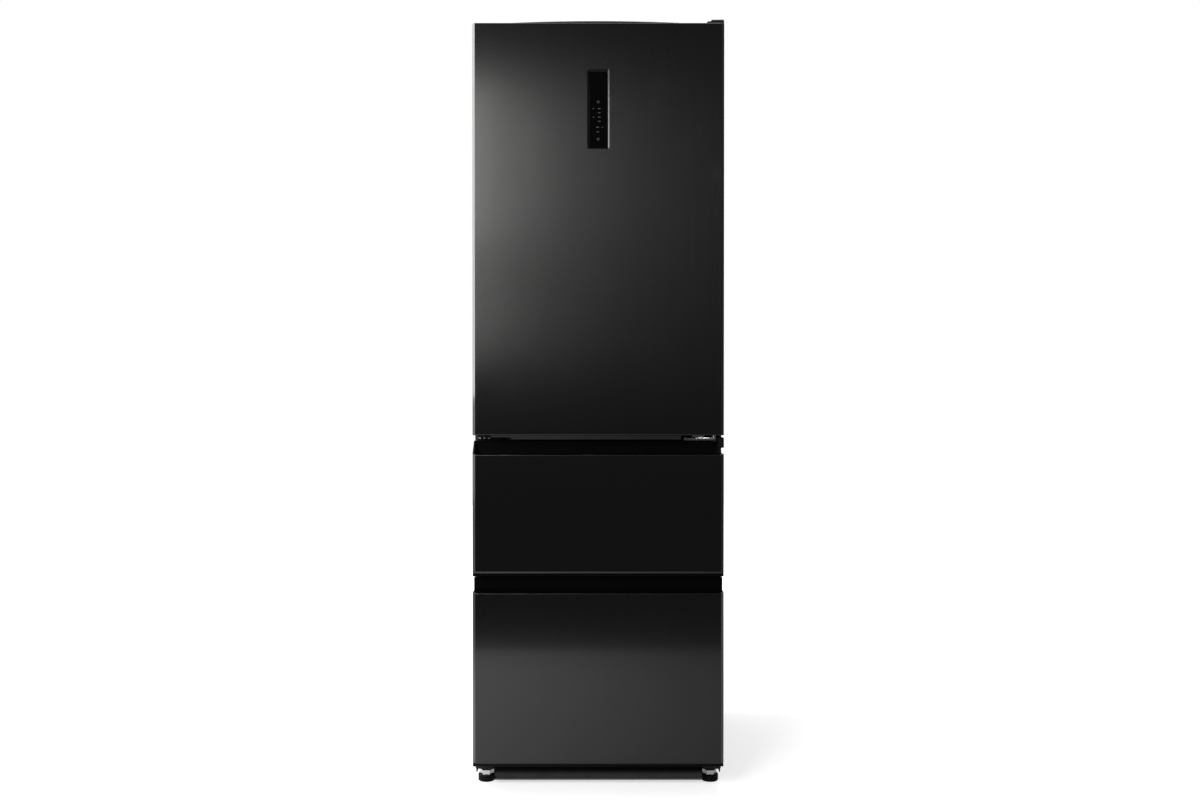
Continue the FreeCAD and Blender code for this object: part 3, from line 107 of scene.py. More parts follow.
class Value:
    """A socket of a node tree that arithmetic can be written on."""

    def __init__(self, graph: "Graph", socket: bpy.types.NodeSocket) -> None:
        """Wrap one output socket.

        Args:
            graph: the node tree that the socket belongs to.
            socket: the output socket.
        """
        self.graph = graph
        self.socket = socket

    def __add__(self, other: Number) -> "Value":
        """Sum of two numbers."""
        return self.graph.math("ADD", self, other)

    def __radd__(self, other: float) -> "Value":
        """Sum with a plain number on the left."""
        return self.graph.math("ADD", other, self)

    def __sub__(self, other: Number) -> "Value":
        """Difference of two numbers."""
        return self.graph.math("SUBTRACT", self, other)

    def __rsub__(self, other: float) -> "Value":
        """Difference from a plain number on the left."""
        return self.graph.math("SUBTRACT", other, self)

    def __mul__(self, other: Number) -> "Value":
        """Product of two numbers."""
        return self.graph.math("MULTIPLY", self, other)

    def __rmul__(self, other: float) -> "Value":
        """Product with a plain number on the left."""
        return self.graph.math("MULTIPLY", other, self)

    def swing(self, width: float) -> "Value":
        """A pattern from 0 to 1, centred on 0 and brought to a width."""
        return (self - 0.5) * width

    def between(self, low: float, high: float) -> "Value":
        """Smooth step from 0 at a low bound to 1 at a high bound."""
        inputs = {"Value": self, "From Min": low, "From Max": high}
        return self.graph.value("ShaderNodeMapRange", {"interpolation_type": "SMOOTHSTEP"}, inputs)


class Graph:
    """Node tree of one material or of the world."""

    def __init__(self, tree: bpy.types.NodeTree) -> None:
        """Start from an empty tree.

        Args:
            tree: the node tree to fill.
        """
        self.tree = tree
        tree.nodes.clear()

    def node(self, kind: str, settings: Optional[dict[str, Any]] = None,
             inputs: Optional[dict[Any, Any]] = None) -> bpy.types.Node:
        """Make one node.

        Args:
            kind: the node's type.
            settings: properties, set before the sockets.
            inputs: values or links by socket name or number.

        Returns:
            The new node.
        """
        made = self.tree.nodes.new(kind)
        for key, setting in (settings or {}).items():
            setattr(made, key, setting)
        for key, given in (inputs or {}).items():
            if isinstance(given, Value):
                self.tree.links.new(given.socket, made.inputs[key])
            else:
                made.inputs[key].default_value = given
        return made

    def value(self, kind: str, settings: Optional[dict[str, Any]] = None,
              inputs: Optional[dict[Any, Any]] = None, output: Union[int, str] = 0) -> Value:
        """One output of a new node."""
        return Value(self, self.node(kind, settings, inputs).outputs[output])

    def math(self, operation: str, first: Number, second: Number = 0.0) -> Value:
        """One Math node on one or two numbers."""
        return self.value("ShaderNodeMath", {"operation": operation}, {0: first, 1: second})

    def where(self) -> Value:
        """Object coordinates."""
        return self.value("ShaderNodeTexCoord", output="Object")

    def along(self, axis: Axis) -> Value:
        """Object coordinate along one axis."""
        return self.value("ShaderNodeSeparateXYZ", {}, {0: self.where()}, axis.name)

    def scaled(self, cells: Union[float, Point]) -> Value:
        """Object coordinates in cells of a pattern, alike or along X, Y and Z."""
        scale = cells if isinstance(cells, tuple) else (cells,) * 3
        return self.value("ShaderNodeMapping", {}, {"Vector": self.where(), "Scale": scale})

    def noise(self, cells: Union[float, Point], detail: float = 2.0) -> Value:
        """Cloudy pattern from 0 to 1, by its cells per metre and its octaves."""
        inputs = {"Vector": self.scaled(cells), "Scale": 1.0, "Detail": detail}
        return self.value("ShaderNodeTexNoise", {}, inputs)

    def voronoi(self, cells: float, output: str) -> Value:
        """One output of a cell pattern, by its cells per metre."""
        inputs = {"Vector": self.scaled(cells), "Scale": 1.0}
        return self.value("ShaderNodeTexVoronoi", {}, inputs, output)

    def shade(self, colour: Colour, tone: Value) -> Value:
        """A colour made lighter or darker by a tone that varies over the surface."""
        inputs = {0: colour, "Scale": tone}
        return self.value("ShaderNodeVectorMath", {"operation": "SCALE"}, inputs)

    def blend(self, factor: Value, first: Colour, second: Colour) -> Value:
        """Mix of two colours, by the share of the second."""
        inputs = {0: factor, 6: (*first, 1.0), 7: (*second, 1.0)}
        return self.value("ShaderNodeMix", {"data_type": "RGBA"}, inputs, 2)

    def bump(self, height: Value, depth: float) -> Value:
        """Surface normal of a relief, from 0 to 1, of some depth in metres."""
        inputs = {"Height": height, "Distance": depth, "Strength": 1.0}
        return self.value("ShaderNodeBump", {}, inputs)


def new_material(name: str, shader: Callable[[Graph], Value]) -> Material:
    """Material of one shader.

    Args:
        name: the material's name.
        shader: makes the shader in the material's node tree.

    Returns:
        The material.
    """
    made = bpy.data.materials.new(name)
    made.use_nodes = True
    graph = Graph(made.node_tree)
    graph.node("ShaderNodeOutputMaterial", {}, {"Surface": shader(graph)})
    return made


@dataclass(frozen=True)
class Finish:
    """One finish: its name, the record's slot and its plain values."""

    name: str
    slot: str
    colour: Colour
    roughness: float

    def surface(self, graph: Graph) -> dict[str, Any]:
        """Values and links of the shader's sockets, by name."""
        raise NotImplementedError

    def shader(self, graph: Graph) -> Value:
        """The shader with its sockets set."""
        return graph.value("ShaderNodeBsdfPrincipled", {}, self.surface(graph))

    def material(self) -> Material:
        """The finish as a material, made at its first use."""
        name = "finish_" + self.name
        return bpy.data.materials.get(name) or new_material(name, self.shader)


@dataclass(frozen=True)
class BrushedSteel(Finish):
    """Metal with a fine upright grain under a clear coat."""

    anisotropy: float = 0.8
    coat: float = 0.5
    coat_roughness: float = 0.08
    line_cells: Point = (700.0, 700.0, 5.0)
    line_tone: float = 0.18
    line_rough: float = 0.04
    line_depth: float = 0.01 * MM
    cloud_cells: Point = (3.0, 3.0, 2.0)
    cloud_tone: float = 0.05
    smudge_cells: Point = (14.0, 14.0, 9.0)
    smudge_band: Pair = (0.55, 0.8)
    smudge_rough: float = 0.02

    def surface(self, graph: Graph) -> dict[str, Any]:
        """Values and links of the shader's sockets.

        Args:
            graph: the material's node tree.

        Returns:
            The sockets by name.
        """
        lines = graph.noise(self.line_cells, detail=3.0)
        cloud = graph.noise(self.cloud_cells)
        smudge = graph.noise(self.smudge_cells, detail=4.0).between(*self.smudge_band)
        rough = lines.swing(self.line_rough) + smudge * self.smudge_rough
        tone = 1.0 + lines.swing(self.line_tone) + cloud.swing(self.cloud_tone)
        return {
            "Base Color": graph.shade(self.colour, tone),
            "Metallic": 1.0,
            "Roughness": self.roughness + rough,
            "Anisotropic": self.anisotropy,
            "Coat Weight": self.coat,
            "Coat Roughness": self.coat_roughness,
            "Normal": graph.bump(lines, self.line_depth),
        }


@dataclass(frozen=True)
class Paint(Finish):
    """Stove-enamelled sheet with a slight orange peel."""

    coat: float = 0.0
    coat_roughness: float = 0.3
    shine: float = 0.2
    peel_cells: float = 260.0
    peel_depth: float = 0.06 * MM
    base_tone: float = 0.94
    cloud_cells: float = 4.0
    cloud_tone: float = 0.08
    cloud_rough: float = 0.12
    speck_cells: float = 1500.0
    speck_tone: float = 0.1

    def surface(self, graph: Graph) -> dict[str, Any]:
        """Values and links of the shader's sockets.

        Args:
            graph: the material's node tree.

        Returns:
            The sockets by name.
        """
        peel = graph.noise(self.peel_cells, detail=1.0)
        cloud = graph.noise(self.cloud_cells, detail=3.0)
        speck = graph.noise(self.speck_cells, detail=1.0)
        tone = self.base_tone + cloud * self.cloud_tone + speck.swing(self.speck_tone)
        return {
            "Base Color": graph.shade(self.colour, tone),
            "Roughness": self.roughness + cloud.swing(self.cloud_rough),
            "Specular IOR Level": self.shine,
            "Coat Weight": self.coat,
            "Coat Roughness": self.coat_roughness,
            "Normal": graph.bump(peel, self.peel_depth),
        }


@dataclass(frozen=True)
class Galvanised(Finish):
    """Zinc-coated sheet with its crystal pattern."""

    base_tone: float = 0.86
    crystal_cells: float = 90.0
    crystal_tone: float = 0.14
    crystal_rough: float = 0.12
    cloud_cells: float = 6.0
    cloud_tone: float = 0.14
    cloud_rough: float = 0.14
    cloud_depth: float = 0.2 * MM
    roll_cells: Point = (4.0, 4.0, 240.0)
    roll_tone: float = 0.06

    def surface(self, graph: Graph) -> dict[str, Any]:
        """Values and links of the shader's sockets.

        Args:
            graph: the material's node tree.

        Returns:
            The sockets by name.
        """
        tint = graph.voronoi(self.crystal_cells, "Color")
        crystal = graph.value("ShaderNodeSeparateColor", {}, {0: tint})
        cloud = graph.noise(self.cloud_cells, detail=4.0)
        roll = graph.noise(self.roll_cells)
        tone = self.base_tone + crystal * self.crystal_tone
        tone = tone + cloud.swing(self.cloud_tone) + roll.swing(self.roll_tone)
        rough = crystal * self.crystal_rough + cloud.swing(self.cloud_rough)
        return {
            "Base Color": graph.shade(self.colour, tone),
            "Metallic": 1.0,
            "Roughness": self.roughness + rough,
            "Normal": graph.bump(cloud, self.cloud_depth),
        }


@dataclass(frozen=True)
class Plated(Finish):
    """Bright plated or drawn metal with hairline wear."""

    hair_cells: Point = (30.0, 30.0, 1400.0)
    hair_tone: float = 0.08
    hair_rough: float = 0.06
    hair_depth: float = 0.02 * MM
    dull_cells: float = 45.0
    dull_tone: float = 0.12
    dull_rough: float = 0.18

    def surface(self, graph: Graph) -> dict[str, Any]:
        """Values and links of the shader's sockets.

        Args:
            graph: the material's node tree.

        Returns:
            The sockets by name.
        """
        hair = graph.noise(self.hair_cells)
        dull = graph.noise(self.dull_cells, detail=4.0)
        rough = dull * self.dull_rough + hair.swing(self.hair_rough)
        tone = 1.0 - dull * self.dull_tone - hair.swing(self.hair_tone)
        return {
            "Base Color": graph.shade(self.colour, tone),
            "Metallic": 1.0,
            "Roughness": self.roughness + rough,
            "Normal": graph.bump(hair, self.hair_depth),
        }


@dataclass(frozen=True)
class Moulded(Finish):
    """Moulded plastic, from fine spark texture to gloss."""

    shine: float = 0.5
    grain_cells: float = 900.0
    grain_depth: float = 0.08 * MM
    grain_rough: float = 0.06
    variation: float = 0.12
    cloud_cells: float = 9.0
    cloud_rough: float = 0.1

    def surface(self, graph: Graph) -> dict[str, Any]:
        """Values and links of the shader's sockets.

        Args:
            graph: the material's node tree.

        Returns:
            The sockets by name.
        """
        grain = graph.noise(self.grain_cells)
        cloud = graph.noise(self.cloud_cells, detail=4.0)
        rough = cloud.swing(self.cloud_rough) + grain.swing(self.grain_rough)
        tone = 1.0 + grain.swing(self.variation) + cloud.swing(self.variation)
        return {
            "Base Color": graph.shade(self.colour, tone),
            "Roughness": self.roughness + rough,
            "Specular IOR Level": self.shine,
            "Normal": graph.bump(grain, self.grain_depth),
        }


@dataclass(frozen=True)
class DustAndFloorLight(Finish):
    """Moulded plastic near the floor, its colour lighter low down: painted light from the floor,
    partly dust and shoe scuffs.
    """

    shine: float = 0.06
    # lighter colour low down: painted floor light, partly dust
    dust_and_floor_light: Colour = (0.2, 0.2, 0.193)
    dust_rough: float = 0.25
    dust_and_light_share: float = 0.6
    clean_z: float = 38.0 * MM
    dusty_z: float = 4.0 * MM
    cloud_cells: Point = (24.0, 24.0, 60.0)
    cloud_share: float = 0.5
    grain_cells: float = 1200.0
    grain_share: float = 0.4
    grain_depth: float = 0.08 * MM

    def surface(self, graph: Graph) -> dict[str, Any]:
        """Values and links of the shader's sockets.

        Args:
            graph: the material's node tree.

        Returns:
            The sockets by name.
        """
        # Painted floor light, partly dust: the colour grows lighter towards the floor.
        low = 1.0 - graph.along(Axis.Z).between(self.dusty_z, self.clean_z)
        cloud = graph.noise(self.cloud_cells, detail=4.0)
        grain = graph.noise(self.grain_cells)
        share = self.dust_and_light_share + cloud * self.cloud_share + grain.swing(self.grain_share)
        amount = low * share
        return {
            "Base Color": graph.blend(amount, self.colour, self.dust_and_floor_light),
            "Roughness": self.roughness + amount * self.dust_rough,
            "Specular IOR Level": self.shine,
            "Normal": graph.bump(grain, self.grain_depth),
        }


@dataclass(frozen=True)
class Clear(Finish):
    """Glass or clear plastic that light passes through."""

    index: float = 1.49
    passing: float = 0.95
    haze: float = 0.05
    base_tone: float = 0.97
    cloud_cells: float = 12.0
    cloud_tone: float = 0.03
    flow_cells: Point = (40.0, 40.0, 8.0)
    flow_depth: float = 0.05 * MM

    def surface(self, graph: Graph) -> dict[str, Any]:
        """Values and links of the shader's sockets.

        Args:
            graph: the material's node tree.

        Returns:
            The sockets by name.
        """
        cloud = graph.noise(self.cloud_cells, detail=4.0)
        flow = graph.noise(self.flow_cells, detail=1.0)
        return {
            "Base Color": graph.shade(self.colour, self.base_tone + cloud * self.cloud_tone),
            "Roughness": self.roughness + cloud * self.haze,
            "IOR": self.index,
            "Transmission Weight": self.passing,
            "Normal": graph.bump(flow, self.flow_depth),
        }


@dataclass(frozen=True)
class Rubber(Finish):
    """Soft extruded rubber with bellows along it, painted shade in the folds between them, and a
    dusty bloom.
    """

    shine: float = 0.35
    base_tone: float = 0.7
    bloom_cells: float = 30.0
    bloom_tone: float = 0.36
    bloom_rough: float = 0.16
    pore_cells: float = 1100.0
    pore_share: float = 0.1
    pleat_pitch: float = 2.4 * MM
    pleat_painted_shade: float = 0.2
    pleat_depth: float = 0.6 * MM

    def surface(self, graph: Graph) -> dict[str, Any]:
        """Values and links of the shader's sockets.

        Args:
            graph: the material's node tree.

        Returns:
            The sockets by name.
        """
        bloom = graph.noise(self.bloom_cells, detail=5.0)
        pores = graph.noise(self.pore_cells, detail=1.0)
        phase = graph.along(Axis.Y) * (2 * math.pi / self.pleat_pitch)
        pleats = graph.math("SINE", phase) * 0.5 + 0.5
        relief = pleats * (1.0 - self.pore_share) + pores * self.pore_share
        # painted shade: the colour is darker in the folds between the pleats and lighter on their
        # crests
        tone = self.base_tone + bloom * self.bloom_tone + pleats * self.pleat_painted_shade
        return {
            "Base Color": graph.shade(self.colour, tone),
            "Roughness": self.roughness + bloom.swing(self.bloom_rough),
            "Specular IOR Level": self.shine,
            "Normal": graph.bump(relief, self.pleat_depth),
        }


@dataclass(frozen=True)
class Foam(Finish):
    """Rigid insulation foam, with painted shade in the hollows of its pores."""

    base_tone: float = 0.8
    pore_cells: float = 700.0
    pore_painted_shade: float = 0.1
    pore_depth: float = 0.6 * MM
    cloud_cells: float = 18.0
    cloud_tone: float = 0.25

    def surface(self, graph: Graph) -> dict[str, Any]:
        """Values and links of the shader's sockets.

        Args:
            graph: the material's node tree.

        Returns:
            The sockets by name.
        """
        pore = graph.voronoi(self.pore_cells, "Distance")
        cloud = graph.noise(self.cloud_cells, detail=3.0)
        # painted shade: the colour is darker in the pore hollows
        tone = self.base_tone + cloud * self.cloud_tone + pore * self.pore_painted_shade
        return {
            "Base Color": graph.shade(self.colour, tone),
            "Roughness": self.roughness,
            "Normal": graph.bump(pore, self.pore_depth),
        }


@dataclass(frozen=True)
class Glow(Finish):
    """Lit diffuser or display mark."""

    strength: float = 1.0
    base_tone: float = 0.92
    cloud_cells: float = 60.0
    cloud_tone: float = 0.12
    cloud_rough: float = 0.1

    def surface(self, graph: Graph) -> dict[str, Any]:
        """Values and links of the shader's sockets.

        Args:
            graph: the material's node tree.

        Returns:
            The sockets by name.
        """
        cloud = graph.noise(self.cloud_cells)
        lit = graph.shade(self.colour, self.base_tone + cloud * self.cloud_tone)
        return {
            "Base Color": lit,
            "Roughness": self.roughness + cloud.swing(self.cloud_rough),
            "Emission Color": lit,
            "Emission Strength": self.strength,
        }


BLACK_STEEL = BrushedSteel("black_steel", "black_steel", (0.0425, 0.042, 0.0414), 0.222)
CASE_PAINT = Paint("case_paint", "case_paint", (0.024, 0.024, 0.0245), 0.75)
MOTOR_PAINT = Paint("motor_paint", "motor_black", (0.014, 0.014, 0.015), 0.22, coat=0.8)
ZINC_SHEET = Galvanised("zinc_sheet", "zinc_steel", (0.56, 0.57, 0.58), 0.4)
BRIGHT_PLATE = Plated("bright_plate", "plated_steel", (0.78, 0.78, 0.79), 0.14)
RAIL_PLATE = Plated("rail_plate", "rail_steel", (0.6, 0.61, 0.62), 0.26)
SCREW_PLATE = Plated("screw_plate", "screw_steel", (0.7, 0.7, 0.71), 0.2)
FIN_METAL = Plated("fin_metal", "fin_aluminium", (0.75, 0.76, 0.77), 0.3)
BLACK_MOULDING = Moulded("black_moulding", "black_plastic", (0.006, 0.006, 0.0062), 0.4, shine=0.3)
MATT_BLACK = Moulded("matt_black", "black_plastic", (0.0025, 0.0025, 0.0026), 0.5, shine=0.12,
                     grain_cells=1400.0)
GLOSS_BLACK = Moulded("gloss_black", "gloss_black", (0.0018, 0.0018, 0.0019), 0.2, shine=0.1,
                      grain_depth=0.01 * MM)
BEZEL_BLACK = Moulded("bezel_black", "gloss_black", (0.0018, 0.0018, 0.0019), 0.2,
                      grain_depth=0.01 * MM)
DISPLAY_GLASS = Moulded("display_glass", "display_glass", (0.0012, 0.0012, 0.0013), 0.08,
                        shine=0.16, grain_cells=40.0, grain_depth=0.01 * MM)
WHITE_LINER = Moulded("white_liner", "white_liner", (0.72, 0.73, 0.735), 0.32,
                      grain_cells=320.0, grain_depth=0.02 * MM, variation=0.04)
# kickplate whose colour is lighter low down: painted floor light, partly dust
KICK_MOULDING = DustAndFloorLight("kick_moulding", "black_plastic", (0.0015, 0.0015, 0.0016), 0.6)
CLEAR_TUB = Clear("clear_tub", "clear_plastic", (0.9, 0.95, 0.96), 0.05)
FROSTED_TUB = Clear("frosted_tub", "frosted_plastic", (0.93, 0.95, 0.96), 0.3,
                    passing=0.7, haze=0.2)
SHELF_GLASS = Clear("shelf_glass", "shelf_glass", (0.88, 0.96, 0.94), 0.01,
                    index=1.52, passing=1.0, haze=0.02)
SEAL_RUBBER = Rubber("seal_rubber", "seal_rubber", (0.09, 0.09, 0.092), 0.62)
WALL_FOAM = Foam("wall_foam", "foam", (0.66, 0.63, 0.54), 0.9)
LAMP_GLOW = Glow("lamp_glow", "frosted_plastic", (0.95, 0.96, 1.0), 0.35, strength=0.6)
MARK_GLOW = Glow("mark_glow", "display_glass", (0.04, 0.042, 0.044), 0.4, strength=0.8)

Edges = tuple[tuple[str, Finish, float], ...]


class Bench:
    """Hand tools: each one is a short run of modelling operators on one piece."""

    @staticmethod
    def alone(piece: Object) -> None:
        """Select one piece and nothing else.

        Args:
            piece: the piece to select.
        """
        bpy.ops.object.select_all(action="DESELECT")
        piece.select_set(True)
        bpy.context.view_layer.objects.active = piece

    @staticmethod
    def edit(piece: Object, work: Callable[[], Any], chosen: Optional[FaceTest] = None,
             points: Optional[PointTest] = None) -> None:
        """Run some work on a piece in edit mode.

        Args:
            piece: the piece to shape.
            work: the operators to run.
            chosen: test of the faces to select; all of them if left out.
            points: test of the points to select, instead of faces.
        """
        Bench.alone(piece)
        bpy.context.tool_settings.mesh_select_mode = (points is not None, False, points is None)
        for edge in piece.data.edges:
            edge.select = False
        for vertex in piece.data.vertices:
            vertex.select = points is not None and points(vertex.co)
        for face in piece.data.polygons:
            face.select = points is None and (chosen is None or chosen(face))
        bpy.ops.object.mode_set(mode="EDIT")
        work()
        bpy.ops.object.mode_set(mode="OBJECT")

    @staticmethod
    def settle(piece: Object) -> None:
        """Put a piece's place, turn and scale into its mesh."""
        Bench.alone(piece)
        bpy.ops.object.transform_apply(location=True, rotation=True, scale=True)

    @staticmethod
    def add(name: str, primitive: Callable[..., Any], scale: Point = (1.0, 1.0, 1.0),
            **settings: Any) -> Object:
        """Add one primitive, with its place in its mesh.

        Args:
            name: the piece's name.
            primitive: the operator that adds it.
            scale: its size along each axis.
            settings: the operator's own settings.

        Returns:
            The piece.
        """
        bpy.ops.object.select_all(action="DESELECT")
        primitive(**settings)
        piece = bpy.context.object
        piece.name = name
        piece.scale = scale
        Bench.settle(piece)
        return piece

    @staticmethod
    def block(name: str, low: Point, high: Point) -> Object:
        """Block between two corners, to be shaped further.

        Args:
            name: the piece's name.
            low: its lowest corner.
            high: its highest corner.

        Returns:
            The block.
        """
        middle, size = (Vector(low) + Vector(high)) / 2, Vector(high) - Vector(low)
        return Bench.add(name, bpy.ops.mesh.primitive_cube_add, tuple(size), size=1.0,
                         location=middle)

    @staticmethod
    def disc(name: str, place: Point, radius: float, height: float, axis: Axis,
             sides: int = 24) -> Object:
        """Round blank about an axis, to be shaped further.

        Args:
            name: the piece's name.
            place: its middle.
            radius: its radius.
            height: its length along the axis.
            axis: the direction of its length.
            sides: faces around it.

        Returns:
            The blank.
        """
        return Bench.add(name, bpy.ops.mesh.primitive_cylinder_add, vertices=sides, radius=radius,
                         depth=height, location=place, rotation=axis.value)

    @staticmethod
    def recess(piece: Object, towards: Point, border: float, depth: float) -> None:
        """Sink a pocket with sloped walls into the faces that look one way.

        Args:
            piece: the piece to shape.
            towards: the direction that the faces look.
            border: width of the rim that stays.
            depth: depth of the pocket.
        """
        slope, facing = 0.15, 0.99

        def sink() -> None:
            """Inset the faces and push them in."""
            bpy.ops.mesh.inset(thickness=border, depth=0.0)
            bpy.ops.mesh.inset(thickness=depth * slope, depth=-depth)

        Bench.edit(piece, sink, lambda face: face.normal.dot(Vector(towards)) > facing)

    @staticmethod
    def copy(piece: Object, name: str, move: Point) -> Object:
        """Copy of a piece with its own mesh.

        Args:
            piece: the piece to copy.
            name: the copy's name.
            move: how far the copy stands from it.

        Returns:
            The copy.
        """
        twin = piece.copy()
        twin.data = piece.data.copy()
        twin.name = name
        bpy.context.scene.collection.objects.link(twin)
        twin.location = move
        Bench.settle(twin)
        return twin

    @staticmethod
    def spread(piece: Object, name: str, moves: list[Point]) -> list[Object]:
        """Copies of a piece at several places, instead of the piece.

        Args:
            piece: the piece to copy, which goes.
            name: the copies' name; a %d in it takes their number, from 1.
            moves: how far each copy stands from it.

        Returns:
            The copies.
        """
        names = [name % number if "%" in name else name for number in range(1, len(moves) + 1)]
        twins = [Bench.copy(piece, twin, move) for twin, move in zip(names, moves)]
        bpy.data.objects.remove(piece)
        return twins

    @staticmethod
    def detach(piece: Object, chosen: FaceTest) -> Object:
        """Take some faces off a piece.

        Args:
            piece: the piece that loses them.
            chosen: test of the faces.

        Returns:
            The faces as a piece of their own.
        """
        before = set(bpy.data.objects)
        Bench.edit(piece, lambda: bpy.ops.mesh.separate(type="SELECTED"), chosen)
        return (set(bpy.data.objects) - before).pop()

    @staticmethod
    def grow(piece: Object, other: Object) -> None:
        """Fuse another piece into this one.

        Args:
            piece: the piece that stays.
            other: the piece that it takes up.
        """
        Bench.modify(piece, "BOOLEAN", operation="UNION", solver="EXACT", object=other)
        bpy.data.objects.remove(other)
        Bench.edit(piece, lambda: bpy.ops.mesh.dissolve_limited(angle_limit=FLAT_ANGLE))

    @staticmethod
    def join(pieces: list[Object]) -> Object:
        """Several meshes as one piece.

        Args:
            pieces: the meshes; the first one's name stays.

        Returns:
            The piece.
        """
        Bench.alone(pieces[0])
        for piece in pieces:
            piece.select_set(True)
        bpy.ops.object.join()
        return pieces[0]

    @staticmethod
    def stretch(piece: Object, scale: Point, centre: Point, points: PointTest) -> None:
        """Stretch part of a piece about a centre.

        Args:
            piece: the piece to shape.
            scale: factor along each axis.
            centre: the point that stays.
            points: test of the points that move.
        """
        def resize() -> None:
            """Scale the chosen points."""
            bpy.ops.transform.resize(value=scale, center_override=centre)

        Bench.edit(piece, resize, points=points)

    @staticmethod
    def modify(piece: Object, kind: str, **settings: Any) -> None:
        """Add one modifier and apply it.

        Args:
            piece: the piece to change.
            kind: the modifier's type.
            settings: the modifier's own settings.
        """
        Bench.alone(piece)
        modifier = piece.modifiers.new(kind.lower(), kind)
        for key, setting in settings.items():
            setattr(modifier, key, setting)
        bpy.ops.object.modifier_apply(modifier=modifier.name)

    @staticmethod
    def smooth(piece: Object) -> None:
        """Shade a piece smooth across its gentle edges."""
        Bench.alone(piece)
        bpy.ops.object.shade_smooth_by_angle(angle=SMOOTH_ANGLE)

    @staticmethod
    def soften(piece: Object, width: float, segments: int = 2) -> None:
        """Round a piece's sharp edges.

        Args:
            piece: the piece to round.
            width: width of the rounding in metres; none at 0.
            segments: faces across the rounding.
        """
        if width > 0:
            Bench.modify(piece, "BEVEL", width=width, segments=segments, limit_method="ANGLE",
                         angle_limit=SHARP_ANGLE, use_clamp_overlap=True)

    @staticmethod
    def done(piece: Object, width: float = 0.3 * MM, segments: int = 2) -> Object:
        """Round a piece's edges and shade it.

        Args:
            piece: the piece to finish.
            width: width of the edge rounding in metres.
            segments: faces across the rounding.

        Returns:
            The piece.
        """
        Bench.soften(piece, width, segments)
        Bench.edit(piece, lambda: bpy.ops.mesh.dissolve_degenerate(threshold=MERGE_GAP))
        Bench.smooth(piece)
        Bench.modify(piece, "WEIGHTED_NORMAL", weight=100, keep_sharp=True)
        return piece

    @staticmethod
    def from_node(node: str) -> Object:
        """Copy of a construction node with its triangles merged into whole faces.

        Args:
            node: the node's name.

        Returns:
            The copy.
        """
        piece = bpy.data.objects.new(node + "_form", frame["nodes"][node].data.copy())
        bpy.context.scene.collection.objects.link(piece)

        def merge() -> None:
            """Join the loose triangles and drop the edges inside flat faces."""
            bpy.ops.mesh.remove_doubles(threshold=MERGE_GAP)
            bpy.ops.mesh.dissolve_limited(angle_limit=FLAT_ANGLE)

        Bench.edit(piece, merge)
        return piece


def dress(piece: Object, finish: Finish, body: str, *nodes: str) -> None:
    """Give a piece its finish and its body, and hide the construction nodes that it stands for.

    Args:
        piece: the finished mesh.
        finish: its finish.
        body: the body that it rides on.
        nodes: construction nodes that it stands for.
    """
    piece.data.materials.clear()
    piece.data.materials.append(finish.material())
    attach(piece, body)
    if nodes:
        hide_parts(*nodes)
    LOG.info("%s rides on %s", piece.name, body)


def refined(node: str, finish: Finish, width: float, segments: int = 2) -> None:
    """A construction node with rounded edges and smooth curves, dressed and in place.

    Args:
        node: the node that it stands for.
        finish: its finish.
        width: width of the edge rounding in metres.
        segments: faces across the rounding.
    """
    piece = Bench.done(Bench.from_node(node), width, segments)
    dress(piece, finish, frame["nodes"][node]["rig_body"], node)


def refined_all(edges: Edges, lead: str = "") -> None:
    """Several construction nodes with rounded edges.

    Args:
        edges: name, finish and edge rounding in millimetres of each node.
        lead: what every name starts with.
    """
    for node, finish, width in edges:
        refined(lead + node, finish, width * MM)


def painted(node: str, finish: Finish) -> None:
    """Give a construction node that stays as it is its finish.

    Args:
        node: the node's name.
        finish: its finish.
    """
    kept = frame["nodes"][node]
    kept.data.materials.clear()
    kept.data.materials.append(finish.material())


@dataclass
class EdgeTrim:
    """Black clip-on strip around the back edge of a front."""

    half_width: float = 299.4 * MM
    grow: float = 0.4 * MM
    width: float = 5.5 * MM
    front_y: float = -275.3 * MM
    depth: float = 9.0 * MM
    edge: float = 0.8 * MM

    def build(self, name: str, low_z: float, high_z: float, body: str,
              notch: Optional[Pair] = None) -> None:
        """Make one strip.

        Args:
            name: the strip's name.
            low_z: lower end of the front.
            high_z: upper end of the front.
            body: the body that it rides on.
            notch: left end and foot of the notch at the upper right corner, if there is one.
        """
        low, high = low_z - self.grow, high_z + self.grow
        size = (2 * self.half_width, high - low, 1.0)
        strip = Bench.add(name, bpy.ops.mesh.primitive_plane_add, size, size=1.0,
                          location=(0.0, self.front_y, (low + high) / 2), rotation=Axis.Y.value)

        def score() -> None:
            """Cut the sheet along both sides of the notch."""
            bpy.ops.mesh.bisect(plane_co=(notch[0], 0.0, 0.0), plane_no=(1.0, 0.0, 0.0))
            bpy.ops.mesh.select_all(action="SELECT")
            bpy.ops.mesh.bisect(plane_co=(0.0, 0.0, notch[1]), plane_no=(0.0, 0.0, 1.0))

        def raise_ring() -> None:
            """Cut out the middle and give the ring its depth."""
            away = {"value": (0.0, self.depth, 0.0)}
            bpy.ops.mesh.inset(thickness=self.width, depth=0.0)
            bpy.ops.mesh.delete(type="FACE")
            bpy.ops.mesh.select_all(action="SELECT")
            bpy.ops.mesh.extrude_region_move(TRANSFORM_OT_translate=away)
            bpy.ops.mesh.select_all(action="SELECT")
            bpy.ops.mesh.normals_make_consistent(inside=False)

        if notch:
            Bench.edit(strip, score)
            Bench.edit(strip, lambda: bpy.ops.mesh.delete(type="FACE"),
                       lambda face: face.center.x > notch[0] and face.center.z > notch[1])
            Bench.edit(strip, bpy.ops.mesh.dissolve_faces)
        Bench.edit(strip, raise_ring)
        dress(Bench.done(strip, self.edge, segments=3), BLACK_MOULDING, body)


